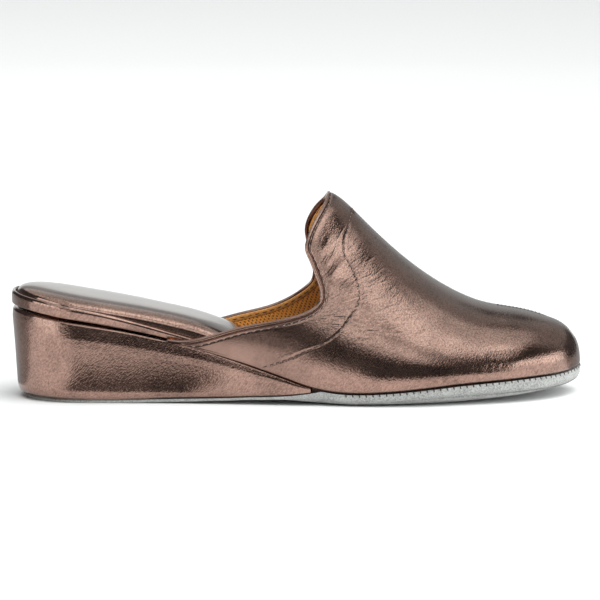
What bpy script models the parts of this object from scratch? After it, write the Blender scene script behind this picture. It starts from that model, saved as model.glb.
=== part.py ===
"""Leather mule slipper for the right foot, on a low covered wedge.

Five pieces are modelled at their real size: the suede outsole, the wedge heel, the rand around the
heel seat, the padded insole and the hollow upper. All of them are worked out from one last: a plan
outline, a side profile and a set of cross sections, each a short table along the shoe's length.

Stations run from the heel's back (0) to the toe's tip (LENGTH), in millimetres. The lateral side is -Y,
the medial side +Y. The finished part has its origin under the middle of its box, on the floor.
"""

import math

import bmesh
import bpy
import numpy as np

MM = 0.001
LATERAL, MEDIAL = -1, 1
NAME = "mule_slipper"

# Driving dimensions, in millimetres
LENGTH = 250.0
GAP = 0.3
WALL = 2.0
RAND_THICKNESS = 1.8
SOLE_ROUND = 0.4
ARCH_RISE, ARCH_LEAN = 2.3, 1.5
TOE_SPRING, SPRING_POWER = 6.4, 2.2
WEDGE_TIP = 131.0
WING_TIP = 68.5
WING_TIP_HEIGHT = 0.6
APEX = 138.8
RAND_END = 84.0

# Flat spots of the sole, and where its changes begin and end along the shoe
HEEL_FLAT_END = 55.0
FORE_FLAT = (140.0, 166.0)
DISH_GROWS = (95.0, 134.0)

# Rounded ends of the plan outline: how far they reach and how square they are
HEEL_REACH, HEEL_POWER = 29.0, 2.15
TOE_REACH, TOE_POWER = 34.0, 2.2
NOSE_REACH, NOSE_POWER = 12.5, 2.6
RING_PULL = 0.9

# The last's plan: its centre line's side shift and its half widths
PLAN = {
    "station": (0, 30, 60, 85, 110, 135, 160, 180, 200, 220, 240, 250),
    "axis": (0, 0, 0, 0, 0, 0.2, 0.4, 0.8, 1.6, 3.2, 5.4, 6.6),
    "lateral": (27.5, 28.5, 29.0, 30.5, 33.5, 37.5, 41.0, 41.5, 38.7, 34.0, 29.4, 27.2),
    "medial": (27.5, 28.0, 27.5, 27.0, 28.5, 32.0, 37.0, 40.0, 39.3, 35.0, 28.6, 25.0),
}

# The feather line, where upper and wedge or sole meet, seen from the side
FEATHER = {
    "station": (
        0, 12, 23, 40, 55, 68, 80, 93, 107, 120, 130, 137, 145, 155, 168, 182, 196, 214, 232, 244, 250,
    ),
    "height": (
        40.2, 38.4, 36.5, 33.7, 30.9, 27.9, 25.0, 21.0, 16.3, 11.7, 8.2, 6.6, 5.7, 5.6, 6.4, 7.7, 9.0, 10.0,
        10.8, 11.3, 12.2,
    ),
}

# The sole's thickness along the shoe
SOLE = {
    "station": (0, 55, 75, 95, 110, 122, 137, 170, 205, 230, 243, 250),
    "thickness": (1.25, 1.3, 1.3, 1.0, 1.1, 1.6, 3.2, 3.6, 4.6, 5.2, 5.0, 4.4),
}

# Top of the sole's edge beside the wedge
SOLE_EDGE = {
    "station": (0, 50, 70, 93, 105, 113, 120, 127, 134, 140),
    "height": (1.25, 1.4, 2.05, 2.65, 3.15, 3.6, 4.15, 4.95, 6.2, 7.6),
}

# How far the sole's edge curls up, as a share, across the half width
DISH = {
    "share": (0.0, 0.70, 0.82, 0.93, 1.0),
    "rise": (0.0, 0.0, 0.16, 0.59, 1.0),
}

# The upper's cross sections: ridge height over the feather line, ridge side shift, fullness of the
# shoulders (1 is an ellipse, less is boxier) and swell of the side wall past the feather line
SECTIONS = {
    "station": (68, 110, 125, 139, 144, 153, 170, 188, 206, 223, 240, 250),
    "ridge": (96, 96, 91, 83.6, 81, 72.8, 55.5, 40.3, 30.2, 25.9, 20.2, 16),
    "shift": (0, 0.5, 1, 1.5, 1.7, 2, 2.6, 3.2, 3, 2, 1, 0),
    "fullness": (1.05, 1.08, 1.08, 1.06, 1.05, 1.02, 0.98, 0.94, 0.9, 0.86, 0.84, 0.84),
    "swell": (0.2, 1.2, 1.8, 2.2, 2.3, 2.5, 2.6, 2.5, 2.2, 1.8, 1.2, 0.8),
}
SWELL_ANGLE = math.radians(45)
SWELL_PEAK = 6.75

# The collar edge from the tongue's apex down and back to a wing tip, seen from the side
COLLAR = {
    "lateral_station": (
        137.8, 135.2, 131.6, 129.4, 128.9, 130.4, 133.2, 135.2, 134.6, 130.8, 125, 116.6, 108, 99.7, 90.9,
        81.3, 75.0,
    ),
    "lateral_height": (
        86.8, 82.6, 76.4, 71.2, 67.4, 63.4, 56.4, 50.0, 45.6, 42.2, 39.8, 37.7, 36.0, 34.2, 31.6,
        28.6, 27.7,
    ),
    "medial_station": (
        137.6, 134.2, 131.0, 129.2, 128.8, 129.8, 131.4, 132.2, 131.4, 129.0, 124, 115.4, 107, 99, 90.5,
        81.3, 75.0,
    ),
    "medial_height": (
        86.8, 82.8, 77.8, 73.2, 69.0, 63.4, 56.4, 50.4, 46.8, 44.2, 40.6, 36.4, 34.0, 32.2, 30.0,
        28.2, 27.6,
    ),
}

# The padded insole: full thickness over the seat, height of its upright side and its edge's inset
PAD = {
    "station": (0, 20, 45, 66, 84, 100, 120, 140, 160, 250),
    "thickness": (11.4, 11.0, 10.7, 11.1, 11.2, 10.0, 7.6, 5.8, 5.2, 4.6),
    "side": (4.6, 4.4, 4.2, 4.0, 3.8, 3.4, 2.8, 2.5, 2.4, 2.2),
    "inset": (2.5, 2.5, 2.7, 4.7, 4.7, 3.0, 2.9, 2.9, 2.9, 2.9),
}
PAD_POWER = 2.6
PAD_TOE_INSET = 3.2

# The rand's height over the seat, its inset from the plan outline and its outward lean at the top
RAND = {
    "station": (0, 23, 34, 43, 53, 63, 73, 84),
    "height": (7.0, 6.8, 6.5, 6.0, 5.2, 4.4, 3.7, 3.2),
    "inset": (0.0, 0.0, 0.0, 0.0, 0.3, 1.8, 2.6, 2.6),
    "lean": (0.0, 0.0, 0.1, 0.3, 0.5, 0.4, 0.0, 0.0),
}

# The wedge's side wall from the sole up: share of its height, inset of the sides and of the heel's back
WEDGE_WALL = {
    "share": (0.0, 0.035, 0.10, 0.30, 0.60, 0.90, 0.97, 1.0),
    "side": (4.4, 2.7, 1.9, 1.5, 0.9, 0.15, 0.25, 0.9),
    "heel": (5.8, 3.2, 2.3, 1.8, 1.1, 0.2, 0.25, 0.8),
}
WEDGE_TAPER_END = 0.15

# Shares of the half width at which the flat faces have their rings, and the turns of the rounded ones
INNER_SHARES = (0.35, 0.70, 0.82, 0.93)
EDGE_TURNS = tuple(math.radians(turn) for turn in (0, 40, 90))
PAD_SHARES = (0.35, 0.75, 0.88, 1.0)
CROWN_TURNS = tuple(math.radians(turn) for turn in (0, 18, 36, 54, 70, 80))

# The upper's rays behind the apex: share of the collar edge that a ray climbs to, its foot's station on the
# feather line and how late it bends back on its way up
REAR = {
    "collar": (0.0, 0.28, 0.46, 0.56, 0.75, 1.0),
    "foot": (192.0, 170.0, 150.0, 131.0, 101.0, WING_TIP),
    "bow": (1.7, 2.2, 1.9, 1.3, 1.0, 1.0),
}

# Mesh density
RUNGS = 44
WEDGE_RUNGS = 24
END_ZONE = 0.12
FRONT_RAYS, REAR_RAYS, UPPER_ROWS = 17, 24, 13
RIDGE_START = 244.0
FRONT_BOW = 2.4
RAND_COLUMNS, RAND_ROWS = 52, 3
SHARP_ANGLE = math.radians(50)

# Colours are linear red, green and blue
MATERIALS = {
    "bronze_leather": {"color": (0.33, 0.21, 0.17), "roughness": 0.38, "metallic": 0.85},
    "grey_suede": {"color": (0.50, 0.50, 0.48), "roughness": 0.95, "metallic": 0.0},
}


def spline(table, column, along="station"):
    """A natural cubic curve through a table's column, as a function of the column that it runs along."""
    x = np.asarray(table[along], float)
    y = np.asarray(table[column], float)
    step = np.diff(x)
    count = len(x)
    matrix = np.eye(count)
    right = np.zeros(count)
    for k in range(1, count - 1):
        matrix[k, k - 1 : k + 2] = step[k - 1], 2 * (step[k - 1] + step[k]), step[k]
        right[k] = 6 * ((y[k + 1] - y[k]) / step[k] - (y[k] - y[k - 1]) / step[k - 1])
    bend = np.linalg.solve(matrix, right)

    def value(at):
        at = np.clip(np.asarray(at, float), x[0], x[-1])
        k = np.clip(np.searchsorted(x, at) - 1, 0, count - 2)
        before, after, span = at - x[k], x[k + 1] - at, step[k]
        cubic = (bend[k] * after**3 + bend[k + 1] * before**3) / (6 * span)
        line = (y[k] / span - bend[k] * span / 6) * after
        return cubic + line + (y[k + 1] / span - bend[k + 1] * span / 6) * before

    return value


def smoothstep(low, high, at):
    share = np.clip((np.asarray(at, float) - low) / (high - low), 0, 1)
    return share * share * (3 - 2 * share)


def end_round(distance, reach, power):
    """Share of the full width at a distance in from a rounded end."""
    inside = 1 - np.clip(np.asarray(distance, float) / reach, 0, 1)
    return (1 - inside**power) ** (1 / power)


def end_spread(count):
    """Shares from 0 to 1 that crowd together at both ends, where an outline turns."""
    k = np.arange(count + 1) / count
    curve = 1 / (2 * END_ZONE * (1 - END_ZONE))
    slope = 2 * curve * END_ZONE
    middle = curve * END_ZONE**2 + slope * (k - END_ZONE)
    shares = np.where(k < END_ZONE, curve * k**2, middle)
    return np.where(k > 1 - END_ZONE, 1 - curve * (1 - k) ** 2, shares)


axis_of = spline(PLAN, "axis")
full_width = {LATERAL: spline(PLAN, "lateral"), MEDIAL: spline(PLAN, "medial")}
feather = spline(FEATHER, "height")
sole_thickness = spline(SOLE, "thickness")
sole_edge_line = spline(SOLE_EDGE, "height")
ridge_rise = spline(SECTIONS, "ridge")
ridge_shift = spline(SECTIONS, "shift")
fullness = spline(SECTIONS, "fullness")
swell = spline(SECTIONS, "swell")
pad_thickness = spline(PAD, "thickness")
pad_side = spline(PAD, "side")


def pad_inset(station):
    return np.interp(station, PAD["station"], PAD["inset"])


def dish(share):
    return np.interp(share, DISH["share"], DISH["rise"])


def sole_base(station):
    """Height of the sole's bottom along its middle: two flat spots, the arch and the toe spring."""
    arch = np.clip((station - HEEL_FLAT_END) / (FORE_FLAT[0] - HEEL_FLAT_END), 0, 1)
    spring = np.clip((station - FORE_FLAT[1]) / (LENGTH - FORE_FLAT[1]), 0, 1)
    return ARCH_RISE * np.sin(math.pi * arch**ARCH_LEAN) ** 2 + TOE_SPRING * spring**SPRING_POWER


def sole_edge(station):
    """Height of the top of the sole's edge: under the wedge, then under the upper."""
    beside_wedge = np.where(station < SOLE_EDGE["station"][-1], sole_edge_line(station), np.inf)
    return np.minimum(beside_wedge, feather(station) - GAP)


def sole_bottom(station, share):
    curl = np.maximum(sole_edge(station) - sole_thickness(station) - sole_base(station), 0)
    return sole_base(station) + curl * dish(share)


def sole_top(station, share):
    return sole_bottom(station, share) + sole_thickness(station)


def seat(station, share):
    """The surface that the foot's pieces stand on: flat over the wedge, dished in the fore part."""
    fore = np.maximum(station, DISH_GROWS[1])
    dip = feather(fore) - GAP - sole_thickness(fore) - sole_base(fore)
    return feather(station) - dip * smoothstep(*DISH_GROWS, station) * (1 - dish(share))


def half_width(station, side, start=0.0, end=LENGTH, inset=0.0, share=1.0):
    """Half width of the plan outline, inset at its sides and rounded at its two ends."""
    heel = end_round(station - start, HEEL_REACH * share, HEEL_POWER)
    toe = end_round(end - station, TOE_REACH * share, TOE_POWER)
    return share * (full_width[side](station) - inset) * heel * toe


def plan_ring(height, share=1.0, start=0.0, end=LENGTH, inset=None, rungs=RUNGS):
    """A closed ring of points around the plan outline: heel, lateral side, toe and medial side.

    A share below 1 shrinks the ring towards the shoe's middle, for the faces inside an outline.
    """
    first = start + (1 - share) * HEEL_REACH * RING_PULL
    last = end - (1 - share) * TOE_REACH * RING_PULL
    stations = first + (last - first) * end_spread(rungs)
    inset = np.zeros_like(stations) if inset is None else inset(stations)
    sides = {}
    for side in (LATERAL, MEDIAL):
        out = half_width(stations, side, first, last, inset, share)
        sides[side] = np.column_stack([stations, axis_of(stations) + side * out, height(stations)])
    return np.vstack([sides[LATERAL], sides[MEDIAL][-2:0:-1]])


def wedge_ring(height, wall, share=1.0):
    """As plan_ring, but cut straight across at the wedge's tip."""
    heel_inset = np.interp(wall, WEDGE_WALL["share"], WEDGE_WALL["heel"])
    side_inset = np.interp(wall, WEDGE_WALL["share"], WEDGE_WALL["side"])
    first = heel_inset + (1 - share) * HEEL_REACH * RING_PULL
    stations = first + (WEDGE_TIP - first) * end_spread(WEDGE_RUNGS)
    taper = 1 + (WEDGE_TAPER_END - 1) * stations / WEDGE_TIP
    sides = {}
    for side in (LATERAL, MEDIAL):
        out = half_width(stations, side, first, LENGTH, side_inset * taper, share)
        sides[side] = np.column_stack([stations, axis_of(stations) + side * out, height(stations)])
    return np.vstack([sides[LATERAL], sides[MEDIAL][:0:-1]])


def upper_point(station, angle, side):
    """The upper's outer face. The angle runs from 0 at the feather line to a right angle at the ridge."""
    nose = end_round(LENGTH - station, NOSE_REACH, NOSE_POWER)
    rise, out = np.sin(angle), np.cos(angle)
    full = fullness(station)
    z = feather(station) + ridge_rise(station) * nose * rise**full
    share = np.clip(angle / SWELL_ANGLE, 0, 1)
    bulge = swell(station) * SWELL_PEAK * share * (1 - share) ** 2 * nose
    width = half_width(station, side) * np.maximum(out, 0) ** full + bulge
    y = axis_of(station) + ridge_shift(station) * rise**2 + side * width
    return np.stack(np.broadcast_arrays(station, y, z), axis=-1)


def collar_points(side):
    """The collar edge's landmarks as stations and section angles, from the apex to a wing tip."""
    name = "lateral" if side == LATERAL else "medial"
    stations = np.array([*COLLAR[f"{name}_station"], WING_TIP])
    heights = np.array([*COLLAR[f"{name}_height"], float(feather(WING_TIP)) + WING_TIP_HEIGHT])
    share = (heights - feather(stations)) / ridge_rise(stations)
    angles = np.arcsin(np.clip(share, 0, 1) ** (1 / fullness(stations)))
    return np.array([APEX, *stations]), np.array([math.pi / 2, *angles])


def collar_curve(side, shares):
    """Stations and section angles along the collar edge, spaced evenly by length on the upper."""
    stations, angles = collar_points(side)
    points = upper_point(stations, angles, side)
    run = np.concatenate([[0], np.cumsum(np.linalg.norm(np.diff(points, axis=0), axis=1))])
    table = {"run": run, "station": stations, "angle": angles}
    at = np.asarray(shares) * run[-1]
    return spline(table, "station", "run")(at), spline(table, "angle", "run")(at)


def upper_rays(side):
    """Stations and angles of the upper's rays, a row for each ray from the toe to a wing tip.

    A ray climbs from the feather line to the ridge or, behind the apex, to the collar edge.
    """
    front = np.arange(FRONT_RAYS + 1) / FRONT_RAYS
    rear = np.arange(1, REAR_RAYS + 1) / REAR_RAYS
    foot_front = LENGTH - (LENGTH - REAR["foot"][0]) * (1 - np.cos(front * math.pi / 2))
    foot_rear = spline(REAR, "foot", "collar")(rear)
    top_front = RIDGE_START + (APEX - RIDGE_START) * front
    top_rear, angle_rear = collar_curve(side, rear)
    foot = np.concatenate([foot_front, foot_rear])
    top = np.concatenate([top_front, top_rear])
    top_angle = np.concatenate([np.full(FRONT_RAYS + 1, math.pi / 2), angle_rear])
    bow_front = FRONT_BOW + (REAR["bow"][0] - FRONT_BOW) * front
    bow = np.concatenate([bow_front, np.interp(rear, REAR["collar"], REAR["bow"])])
    rows = np.arange(UPPER_ROWS + 1) / UPPER_ROWS
    stations = foot[:, None] + (top - foot)[:, None] * rows[None, :] ** bow[:, None]
    angles = top_angle[:, None] * rows[None, :]
    angles[0, :] = math.pi / 2
    return stations, angles


def new_object(name, mesh_builder, material, collection, parent):
    """Links an object whose mesh comes from a builder, with its material and smooth shading."""
    mesh = bpy.data.meshes.new(name)
    mesh_builder.to_mesh(mesh)
    mesh_builder.free()
    mesh.materials.append(material)
    mesh.shade_smooth()
    mesh.set_sharp_from_angle(angle=SHARP_ANGLE)
    obj = bpy.data.objects.new(name, mesh)
    collection.objects.link(obj)
    obj.parent = parent
    return obj


def loft_rings(rings, pointed_front):
    """A closed solid through plan rings from its lower middle, around its edge, to its upper middle.

    Each cap is a ladder of faces between the two sides of its ring.
    """
    builder = bmesh.new()
    loops = [[builder.verts.new(point * MM) for point in ring] for ring in rings]
    count = len(loops[0])
    for low, high in zip(loops, loops[1:]):
        for k in range(count):
            after = (k + 1) % count
            builder.faces.new((low[k], low[after], high[after], high[k]))
    rungs = count // 2
    for loop in (loops[0], loops[-1]):
        for k in range(rungs):
            corners = [loop[k], loop[k + 1], loop[-k - 1], loop[-k]]
            if k == 0:
                corners = [loop[0], loop[1], loop[-1]]
            if k == rungs - 1 and pointed_front:
                corners = [loop[k], loop[k + 1], loop[-k]]
            builder.faces.new(corners)
    bmesh.ops.recalc_face_normals(builder, faces=builder.faces)
    return builder


def outsole_mesh():
    """The suede sole: a thin sheet with its dish, arch and toe spring, and a rounded edge."""
    side_inset = WEDGE_WALL["side"][0]
    heel_inset = WEDGE_WALL["heel"][0]

    def ring(surface, share, inward=0.0, lift=0.0):
        def edge_round(s):
            return SOLE_ROUND * sole_thickness(s)

        return plan_ring(
            lambda s: surface(s, share) + lift * edge_round(s),
            share=share,
            start=heel_inset + inward * edge_round(0.0),
            end=LENGTH - inward * edge_round(LENGTH),
            inset=lambda s: side_inset * (1 - smoothstep(0, WEDGE_TIP, s)) + inward * edge_round(s),
        )

    rings = [ring(sole_bottom, share) for share in INNER_SHARES]
    rings.extend(
        ring(sole_bottom, 1.0, inward=1 - math.sin(turn), lift=1 - math.cos(turn)) for turn in EDGE_TURNS
    )
    rings.append(ring(sole_top, 1.0))
    rings.extend(ring(sole_top, share) for share in reversed(INNER_SHARES))
    return loft_rings(rings, pointed_front=True)


def wedge_mesh():
    """The covered wedge between sole and seat, with its drafted wall and turned-under lower edge."""

    def level(wall, share=1.0):
        def height(s):
            low = sole_top(s, share) + GAP
            high = seat(s, share) - GAP
            return low + (high - low) * wall

        return wedge_ring(height, wall, share)

    rings = [level(0.0, share) for share in INNER_SHARES]
    rings.extend(level(wall) for wall in WEDGE_WALL["share"])
    rings.extend(level(1.0, share) for share in reversed(INNER_SHARES))
    return loft_rings(rings, pointed_front=False)


def insole_mesh():
    """The padded insole: its underside lies in the seat, its top is a soft crown."""
    edge = DISH["share"][-2]
    end = LENGTH - PAD_TOE_INSET

    def under(share):
        return plan_ring(
            lambda s: seat(s, edge * share), share=share, start=PAD["inset"][0], end=end, inset=pad_inset
        )

    def crown(turn):
        share = math.cos(turn) ** (2 / PAD_POWER)
        rise = math.sin(turn) ** (2 / PAD_POWER)

        def height(s):
            corner = seat(s, edge) + pad_side(s)
            return corner + (seat(s, 0.0) + pad_thickness(s) - corner) * rise

        return plan_ring(height, share=share, start=PAD["inset"][0], end=end, inset=pad_inset)

    rings = [under(share) for share in PAD_SHARES]
    rings.extend(crown(turn) for turn in CROWN_TURNS)
    return loft_rings(rings, pointed_front=True)


def rand_mesh():
    """The band around the heel seat, as an open sheet that Solidify thickens inwards."""
    rand_height = spline(RAND, "height")
    builder = bmesh.new()
    bmesh.ops.create_grid(builder, x_segments=RAND_COLUMNS, y_segments=RAND_ROWS, size=1)
    for vert in builder.verts:
        along, up = vert.co.x, (vert.co.y + 1) / 2
        side = LATERAL if along < 0 else MEDIAL
        station = RAND_END * along**2
        inset = np.interp(station, RAND["station"], RAND["inset"])
        lean = np.interp(station, RAND["station"], RAND["lean"])
        out = half_width(station, side, inset=inset) + lean * up**2
        z = float(seat(station, 1.0)) + float(rand_height(station)) * up
        vert.co = (station * MM, (float(axis_of(station)) + side * float(out)) * MM, z * MM)
    return builder


def upper_mesh():
    """The upper's outer face as an open sheet: two rows of rays that share the ridge line."""
    rays = FRONT_RAYS + REAR_RAYS
    faces = {side: upper_point(*upper_rays(side), side) for side in (LATERAL, MEDIAL)}
    builder = bmesh.new()
    bmesh.ops.create_grid(builder, x_segments=2 * rays, y_segments=UPPER_ROWS, size=1)
    for vert in builder.verts:
        ray = round(vert.co.x * rays)
        row = round((vert.co.y + 1) / 2 * UPPER_ROWS)
        side = LATERAL if ray < 0 else MEDIAL
        vert.co = faces[side][abs(ray), row] * MM
    bmesh.ops.remove_doubles(builder, verts=builder.verts, dist=1e-7)
    bmesh.ops.recalc_face_normals(builder, faces=builder.faces)
    return builder


def face_outwards(builder):
    """Turns an open sheet's faces away from the shoe's middle line."""
    builder.normal_update()
    lean = sum(face.normal.y * face.calc_center_median().y * face.calc_area() for face in builder.faces)
    if lean < 0:
        bmesh.ops.reverse_faces(builder, faces=builder.faces)
    builder.normal_update()
    return builder


def thicken(obj, thickness):
    """Gives an open sheet its wall, inwards from its outer face."""
    solid = obj.modifiers.new("wall", "SOLIDIFY")
    solid.thickness = thickness * MM
    solid.offset = -1
    solid.use_even_offset = True


def make_material(name):
    look = MATERIALS[name]
    material = bpy.data.materials.new(name)
    material.use_nodes = True
    shader = material.node_tree.nodes["Principled BSDF"]
    shader.inputs["Base Color"].default_value = (*look["color"], 1)
    shader.inputs["Roughness"].default_value = look["roughness"]
    shader.inputs["Metallic"].default_value = look["metallic"]
    return material


def clear_scene():
    for obj in list(bpy.data.objects):
        bpy.data.objects.remove(obj)


def middle_across():
    """Side shift of the middle of the upper's box, between its widest points."""
    stations, angles = np.meshgrid(np.arange(WING_TIP, LENGTH), np.linspace(0, SWELL_ANGLE))
    reach = {side: (upper_point(stations, angles, side)[..., 1] * side).max() for side in (LATERAL, MEDIAL)}
    return (reach[MEDIAL] - reach[LATERAL]) / 2


def main():
    clear_scene()
    collection = bpy.data.collections.new(NAME)
    bpy.context.scene.collection.children.link(collection)
    last = bpy.data.objects.new("last", None)
    last.location = (-LENGTH / 2 * MM, -middle_across() * MM, 0)
    collection.objects.link(last)
    leather = make_material("bronze_leather")
    suede = make_material("grey_suede")

    new_object("outsole", outsole_mesh(), suede, collection, last)
    new_object("wedge_heel", wedge_mesh(), leather, collection, last)
    new_object("insole", insole_mesh(), leather, collection, last)
    rand = new_object("heel_rand", face_outwards(rand_mesh()), leather, collection, last)
    thicken(rand, RAND_THICKNESS)
    upper = new_object("upper", face_outwards(upper_mesh()), leather, collection, last)
    thicken(upper, WALL)


main()
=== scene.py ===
"""Leather mule slipper for the right foot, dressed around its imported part.

The pieces are worked out from the same last as the part: a plan outline, a side profile and a set of cross
sections, each a short table along the shoe's length. Stations run from the heel's back (0) to the toe's tip
(LENGTH), in millimetres. The lateral side is -Y, the medial side +Y.
"""

import math

import bmesh
import bpy
import numpy as np
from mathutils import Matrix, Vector

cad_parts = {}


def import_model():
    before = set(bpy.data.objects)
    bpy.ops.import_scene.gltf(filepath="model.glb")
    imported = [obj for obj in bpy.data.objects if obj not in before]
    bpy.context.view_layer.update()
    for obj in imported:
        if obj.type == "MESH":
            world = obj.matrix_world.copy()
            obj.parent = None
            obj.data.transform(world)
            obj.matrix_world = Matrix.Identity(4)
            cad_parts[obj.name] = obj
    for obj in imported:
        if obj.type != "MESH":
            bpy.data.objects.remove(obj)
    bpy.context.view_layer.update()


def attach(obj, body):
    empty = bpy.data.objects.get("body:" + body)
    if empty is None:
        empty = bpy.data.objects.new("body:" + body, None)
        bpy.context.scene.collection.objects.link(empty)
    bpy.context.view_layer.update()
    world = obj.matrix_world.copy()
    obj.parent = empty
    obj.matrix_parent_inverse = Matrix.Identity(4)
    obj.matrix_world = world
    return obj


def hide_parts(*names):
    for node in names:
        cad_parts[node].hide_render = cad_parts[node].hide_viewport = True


MM = 0.001
LATERAL, MEDIAL = -1, 1
SIDES = (LATERAL, MEDIAL)
UP = np.array([0.0, 0.0, 1.0])
FAR = 1e3

# Sizes of the last and its pieces, in millimetres
LENGTH = 250.0
GAP = 0.3
WALL = 2.0
LEATHER = 1.35
SOLE_ROUND = 0.4
ARCH_RISE, ARCH_LEAN = 2.3, 1.5
TOE_SPRING, SPRING_POWER = 6.4, 2.2
WEDGE_TIP = 131.0
WING_TIP = 68.5
WING_TIP_HEIGHT = 1.1
APEX = 138.8
RAND_END = 84.0

# Flat spots of the sole, and where its changes begin and end along the shoe
HEEL_FLAT_END = 55.0
FORE_FLAT = (140.0, 166.0)
DISH_GROWS = (95.0, 134.0)

# Rounded ends of the plan outline: how far they reach and how square they are
HEEL_REACH, HEEL_POWER = 29.0, 2.15
TOE_REACH, TOE_POWER = 34.0, 2.2
NOSE_REACH, NOSE_POWER = 12.5, 2.6
RING_PULL = 0.9

# The last's plan: its centre line's side shift and its half widths
PLAN = {
    "station": (0, 30, 60, 85, 110, 135, 160, 180, 200, 220, 240, 250),
    "axis": (0, 0, 0, 0, 0, 0.2, 0.4, 0.8, 1.6, 3.2, 5.4, 6.6),
    "lateral": (27.5, 28.5, 29.0, 30.5, 33.5, 37.5, 41.0, 41.5, 38.7, 34.0, 29.4, 27.2),
    "medial": (27.5, 28.0, 27.5, 27.0, 28.5, 32.0, 37.0, 40.0, 39.3, 35.0, 28.6, 25.0),
}

# The feather line, where upper and wedge or sole meet, seen from the side
FEATHER = {
    "station": (
        0, 12, 23, 40, 55, 68, 80, 93, 107, 120, 130, 137, 145, 155, 168, 182, 196, 214, 232, 244, 250,
    ),
    "height": (
        40.2, 38.4, 36.5, 33.7, 30.9, 27.9, 25.0, 21.0, 16.3, 11.7, 8.2, 6.6, 5.7, 5.6, 6.4, 7.7, 9.0, 10.0,
        10.8, 11.3, 12.2,
    ),
}

# The sole's thickness along the shoe
SOLE = {
    "station": (0, 55, 75, 95, 110, 122, 137, 170, 205, 230, 243, 250),
    "thickness": (1.25, 1.3, 1.3, 1.0, 1.1, 1.6, 3.2, 3.6, 4.6, 5.2, 5.0, 4.4),
}

# Top of the sole's edge beside the wedge
SOLE_EDGE = {
    "station": (0, 50, 70, 93, 105, 113, 120, 127, 134, 140),
    "height": (1.25, 1.4, 2.05, 2.65, 3.15, 3.6, 4.15, 4.95, 6.2, 7.6),
}

# How far the sole's edge curls up, as a share, across the half width
DISH = {
    "share": (0.0, 0.70, 0.82, 0.93, 1.0),
    "rise": (0.0, 0.0, 0.16, 0.59, 1.0),
}

# The upper's cross sections: ridge height over the feather line, ridge side shift, fullness of the
# shoulders (1 is an ellipse, less is boxier) and swell of the side wall past the feather line
SECTIONS = {
    "station": (68, 110, 125, 139, 144, 153, 170, 188, 206, 223, 240, 250),
    "ridge": (96, 96, 91, 83.6, 81, 72.8, 55.5, 40.3, 30.2, 25.9, 20.2, 16),
    "shift": (0, 0.5, 1, 1.5, 1.7, 2, 2.6, 3.2, 3, 2, 1, 0),
    "fullness": (1.05, 1.08, 1.08, 1.06, 1.05, 1.02, 0.98, 0.94, 0.9, 0.86, 0.84, 0.84),
    "swell": (0.2, 1.2, 1.8, 2.2, 2.3, 2.5, 2.6, 2.5, 2.2, 1.8, 1.2, 0.8),
}
SWELL_ANGLE = math.radians(45)
SWELL_PEAK = 6.75

# The collar edge from the tongue's apex down and back to a wing tip, seen from the side
COLLAR = {
    "lateral_station": (
        137.8, 135.2, 131.6, 129.4, 128.9, 130.4, 133.2, 135.2, 134.6, 130.8, 125, 116.6, 108, 99.7, 90.9,
        81.3, 75.0,
    ),
    "lateral_height": (
        86.8, 82.6, 76.4, 71.2, 67.4, 63.4, 56.4, 50.0, 45.6, 42.2, 39.8, 37.7, 36.0, 34.2, 31.6,
        29.0, 28.2,
    ),
    "medial_station": (
        137.6, 134.2, 131.0, 129.2, 128.8, 129.8, 131.4, 132.2, 131.4, 129.0, 124, 115.4, 107, 99, 90.5,
        81.3, 75.0,
    ),
    "medial_height": (
        86.8, 82.8, 77.8, 73.2, 69.0, 63.4, 56.4, 50.4, 46.8, 44.2, 40.6, 36.4, 34.0, 32.2, 30.0,
        28.2, 27.6,
    ),
}

# The padded insole: full thickness over the seat, height of its upright side and its edge's inset
PAD = {
    "station": (0, 20, 45, 66, 84, 100, 120, 140, 160, 250),
    "thickness": (11.4, 11.0, 10.7, 11.1, 11.2, 10.0, 7.6, 5.8, 5.2, 4.6),
    "side": (4.6, 4.4, 4.2, 4.0, 3.8, 3.4, 2.8, 2.5, 2.4, 2.2),
    "inset": (2.5, 2.5, 2.7, 4.7, 4.7, 3.0, 2.9, 2.9, 2.9, 2.9),
}
PAD_POWER = 3.6
PAD_TOE_INSET = 3.2

# The rand's height over the seat, its inset from the plan outline and its outward lean at the top
RAND = {
    "station": (0, 23, 34, 43, 53, 63, 73, 84),
    "height": (7.0, 6.8, 6.5, 6.0, 5.2, 4.4, 3.7, 3.2),
    "inset": (0.0, 0.0, 0.0, 0.0, 0.3, 1.8, 2.6, 2.6),
    "lean": (0.0, 0.7, 0.9, 0.9, 0.8, 0.6, 0.4, 0.3),
}

# The rand's section, from its foot up its outer face, over its rolled edge and down its inside: distance in
# from the outer face and share of the height
RAND_SECTION = {
    "in": (
        2.7, 2.2, 1.2, 0.35, 0.08, 0.0, 0.0, 0.0, 0.0, 0.0, 0.02, 0.05, 0.50, 0.56, 0.8, 1.2, 1.5, 1.7, 1.8,
        2.9,
    ),
    "up": (
        0.0, 0.09, 0.16, 0.20, 0.225, 0.265, 0.285, 0.33, 0.60, 0.865, 0.872, 0.88, 0.972, 0.983, 1.0, 1.0,
        0.985, 0.95, 0.88, 0.0,
    ),
}

# The wedge's side wall from the sole up: share of its height, inset of the sides and of the heel's back, and
# how its cover rounds off towards the top
WEDGE_WALL = {
    "share": (0.0, 0.035, 0.10, 0.30, 0.60, 0.90, 0.985, 1.0),
    "side": (4.4, 2.7, 1.9, 1.5, 0.9, 0.15, 0.18, 0.5),
    "heel": (5.8, 3.2, 2.3, 1.8, 1.1, 0.2, 0.25, 0.6),
}
WEDGE_SOFT = {
    "share": (0.0, 0.68, 0.80, 0.90, 0.985, 1.0),
    "side": (0.0, 0.0, 0.30, 0.92, 1.18, 1.40),
    "heel": (0.0, 0.0, 0.0, 0.04, 0.20, 0.60),
}
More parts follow.
